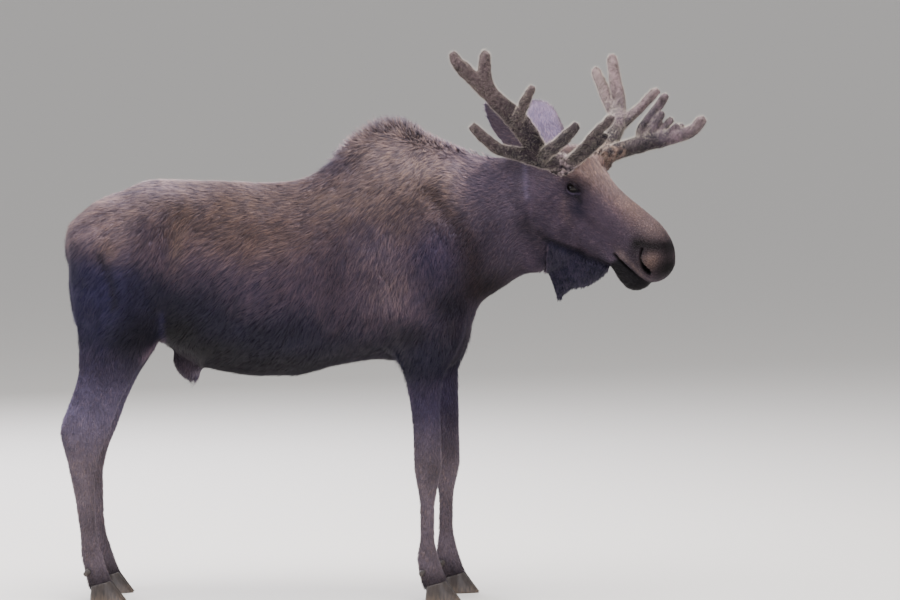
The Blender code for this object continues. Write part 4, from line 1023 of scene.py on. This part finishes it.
# ---- The hooves --------------------------------------------------------------------------------------------
# Two claws and two dewclaws of dark horn on each foot, worn smooth, with the low rings the horn grows in.
HOOF_VOXEL = 0.0030
RING_SPACING = 0.007
RING_HEIGHT = 0.0004
SOLE_EDGE = 0.004
horn_material, tree, shader = new_material("hoof horn, worn", Roughness=0.42, Specular_IOR_Level=0.45)
tone = node(tree, "ShaderNodeAttribute", attribute_name="coat")
tree.links.new(tone.outputs["Color"], shader.inputs["Base Color"])
for limb in ("fore", "hind"):
    for side in SIDES:
        own = f"_{limb}_{side}_"
        nodes = [piece + own + which for piece in ("claw", "dewclaw") for which in ("outer", "inner")]
        hooves = closed_over(f"hooves_{limb}_{side}", nodes, 0.0, HOOF_VOXEL)
        points = vectors_of(hooves.data.vertices, "co")
        sole = points[:, 2] < SOLE_EDGE
        points = eased(points, ends_of(hooves.data), np.where(sole, 0.1, 0.5), 6)
        move_points(hooves.data, points)
        normals = vectors_of(hooves.data.vertex_normals, "vector")
        rise = points[:, 2] + 0.25 * points[:, 0]
        rings = RING_HEIGHT * np.sin(2 * np.pi * rise / RING_SPACING)
        rings = rings * smooth_step(SOLE_EDGE, 3 * SOLE_EDGE, points[:, 2])
        points = points + normals * rings[:, None]
        points[:, 2] = np.where(points[:, 2] < 0.003, 0.0, points[:, 2])
        move_points(hooves.data, points)
        hooves.data.shade_smooth()
        colour = np.zeros((len(points), 3)) + linear("#3a322e")
        colour = painted(colour, smooth_step(0.05, 0.0, points[:, 2]), "#5a4d42")
        colour = painted(colour, 0.3 + 0.3 * mottle(points * (4, 4, 1), 0.02, 41), "#241f1e")
        set_colour(hooves.data, colour)
        hooves.data.materials.clear()
        hooves.data.materials.append(horn_material)
        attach(hooves, "root")
        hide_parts(*nodes)

# ---- The studio --------------------------------------------------------------------------------------------
# A plain pale floor under soft light from above, the front, the back and a window, and a long lens far off.
FLOOR_SIZE = 600
bpy.ops.mesh.primitive_plane_add(size=FLOOR_SIZE)
floor = bpy.context.active_object
floor.name = "floor"
floor_material, tree, shader = new_material("studio floor, painted", Roughness=0.9)
shader.inputs["Base Color"].default_value = (*linear("#d9d6d1"), 1)
floor.data.materials.append(floor_material)

world = bpy.data.worlds.new("studio")
bpy.context.scene.world = world
world.use_nodes = True
world.node_tree.nodes["Background"].inputs["Color"].default_value = (*linear("#e3e3e6"), 1)
world.node_tree.nodes["Background"].inputs["Strength"].default_value = 0.80
LIGHTS = [
    ("overhead", (-0.5, -0.5, 6.5), 6.0, 1250, "#fbf7f4"),
    ("front", (4.5, -7.0, 3.5), 4.0, 260, "#f4f2ff"),
    ("behind", (-3.0, 6.0, 5.0), 4.0, 850, "#f6f4ff"),
    ("window", (-4.5, -2.2, 3.3), 2.0, 110, "#eaedff"),
]
for name, place, size, power, code in LIGHTS:
    lamp = bpy.data.lights.new(name, "AREA")
    lamp.size = size
    lamp.energy = power
    lamp.color = linear(code)
    light = bpy.data.objects.new(name, lamp)
    light.location = place
    light.rotation_euler = (Vector((0, 0, 1.2)) - Vector(place)).to_track_quat("-Z", "Y").to_euler()
    bpy.context.scene.collection.objects.link(light)

CAMERA_DISTANCE = 22
FOCAL_LENGTH = 217.3
CAMERA_RISE = math.radians(4)
LOOKED_AT = Vector((rump + 1.567, 0, 1.207))
back = Vector((0, -math.cos(CAMERA_RISE), math.sin(CAMERA_RISE)))
lens = bpy.data.cameras.new("camera")
lens.lens = FOCAL_LENGTH
lens.sensor_width = 36
lens.clip_end = 200
camera = bpy.data.objects.new("camera", lens)
camera.location = LOOKED_AT + back * CAMERA_DISTANCE
camera.rotation_euler = (-back).to_track_quat("-Z", "Y").to_euler()
bpy.context.scene.collection.objects.link(camera)
bpy.context.scene.camera = camera
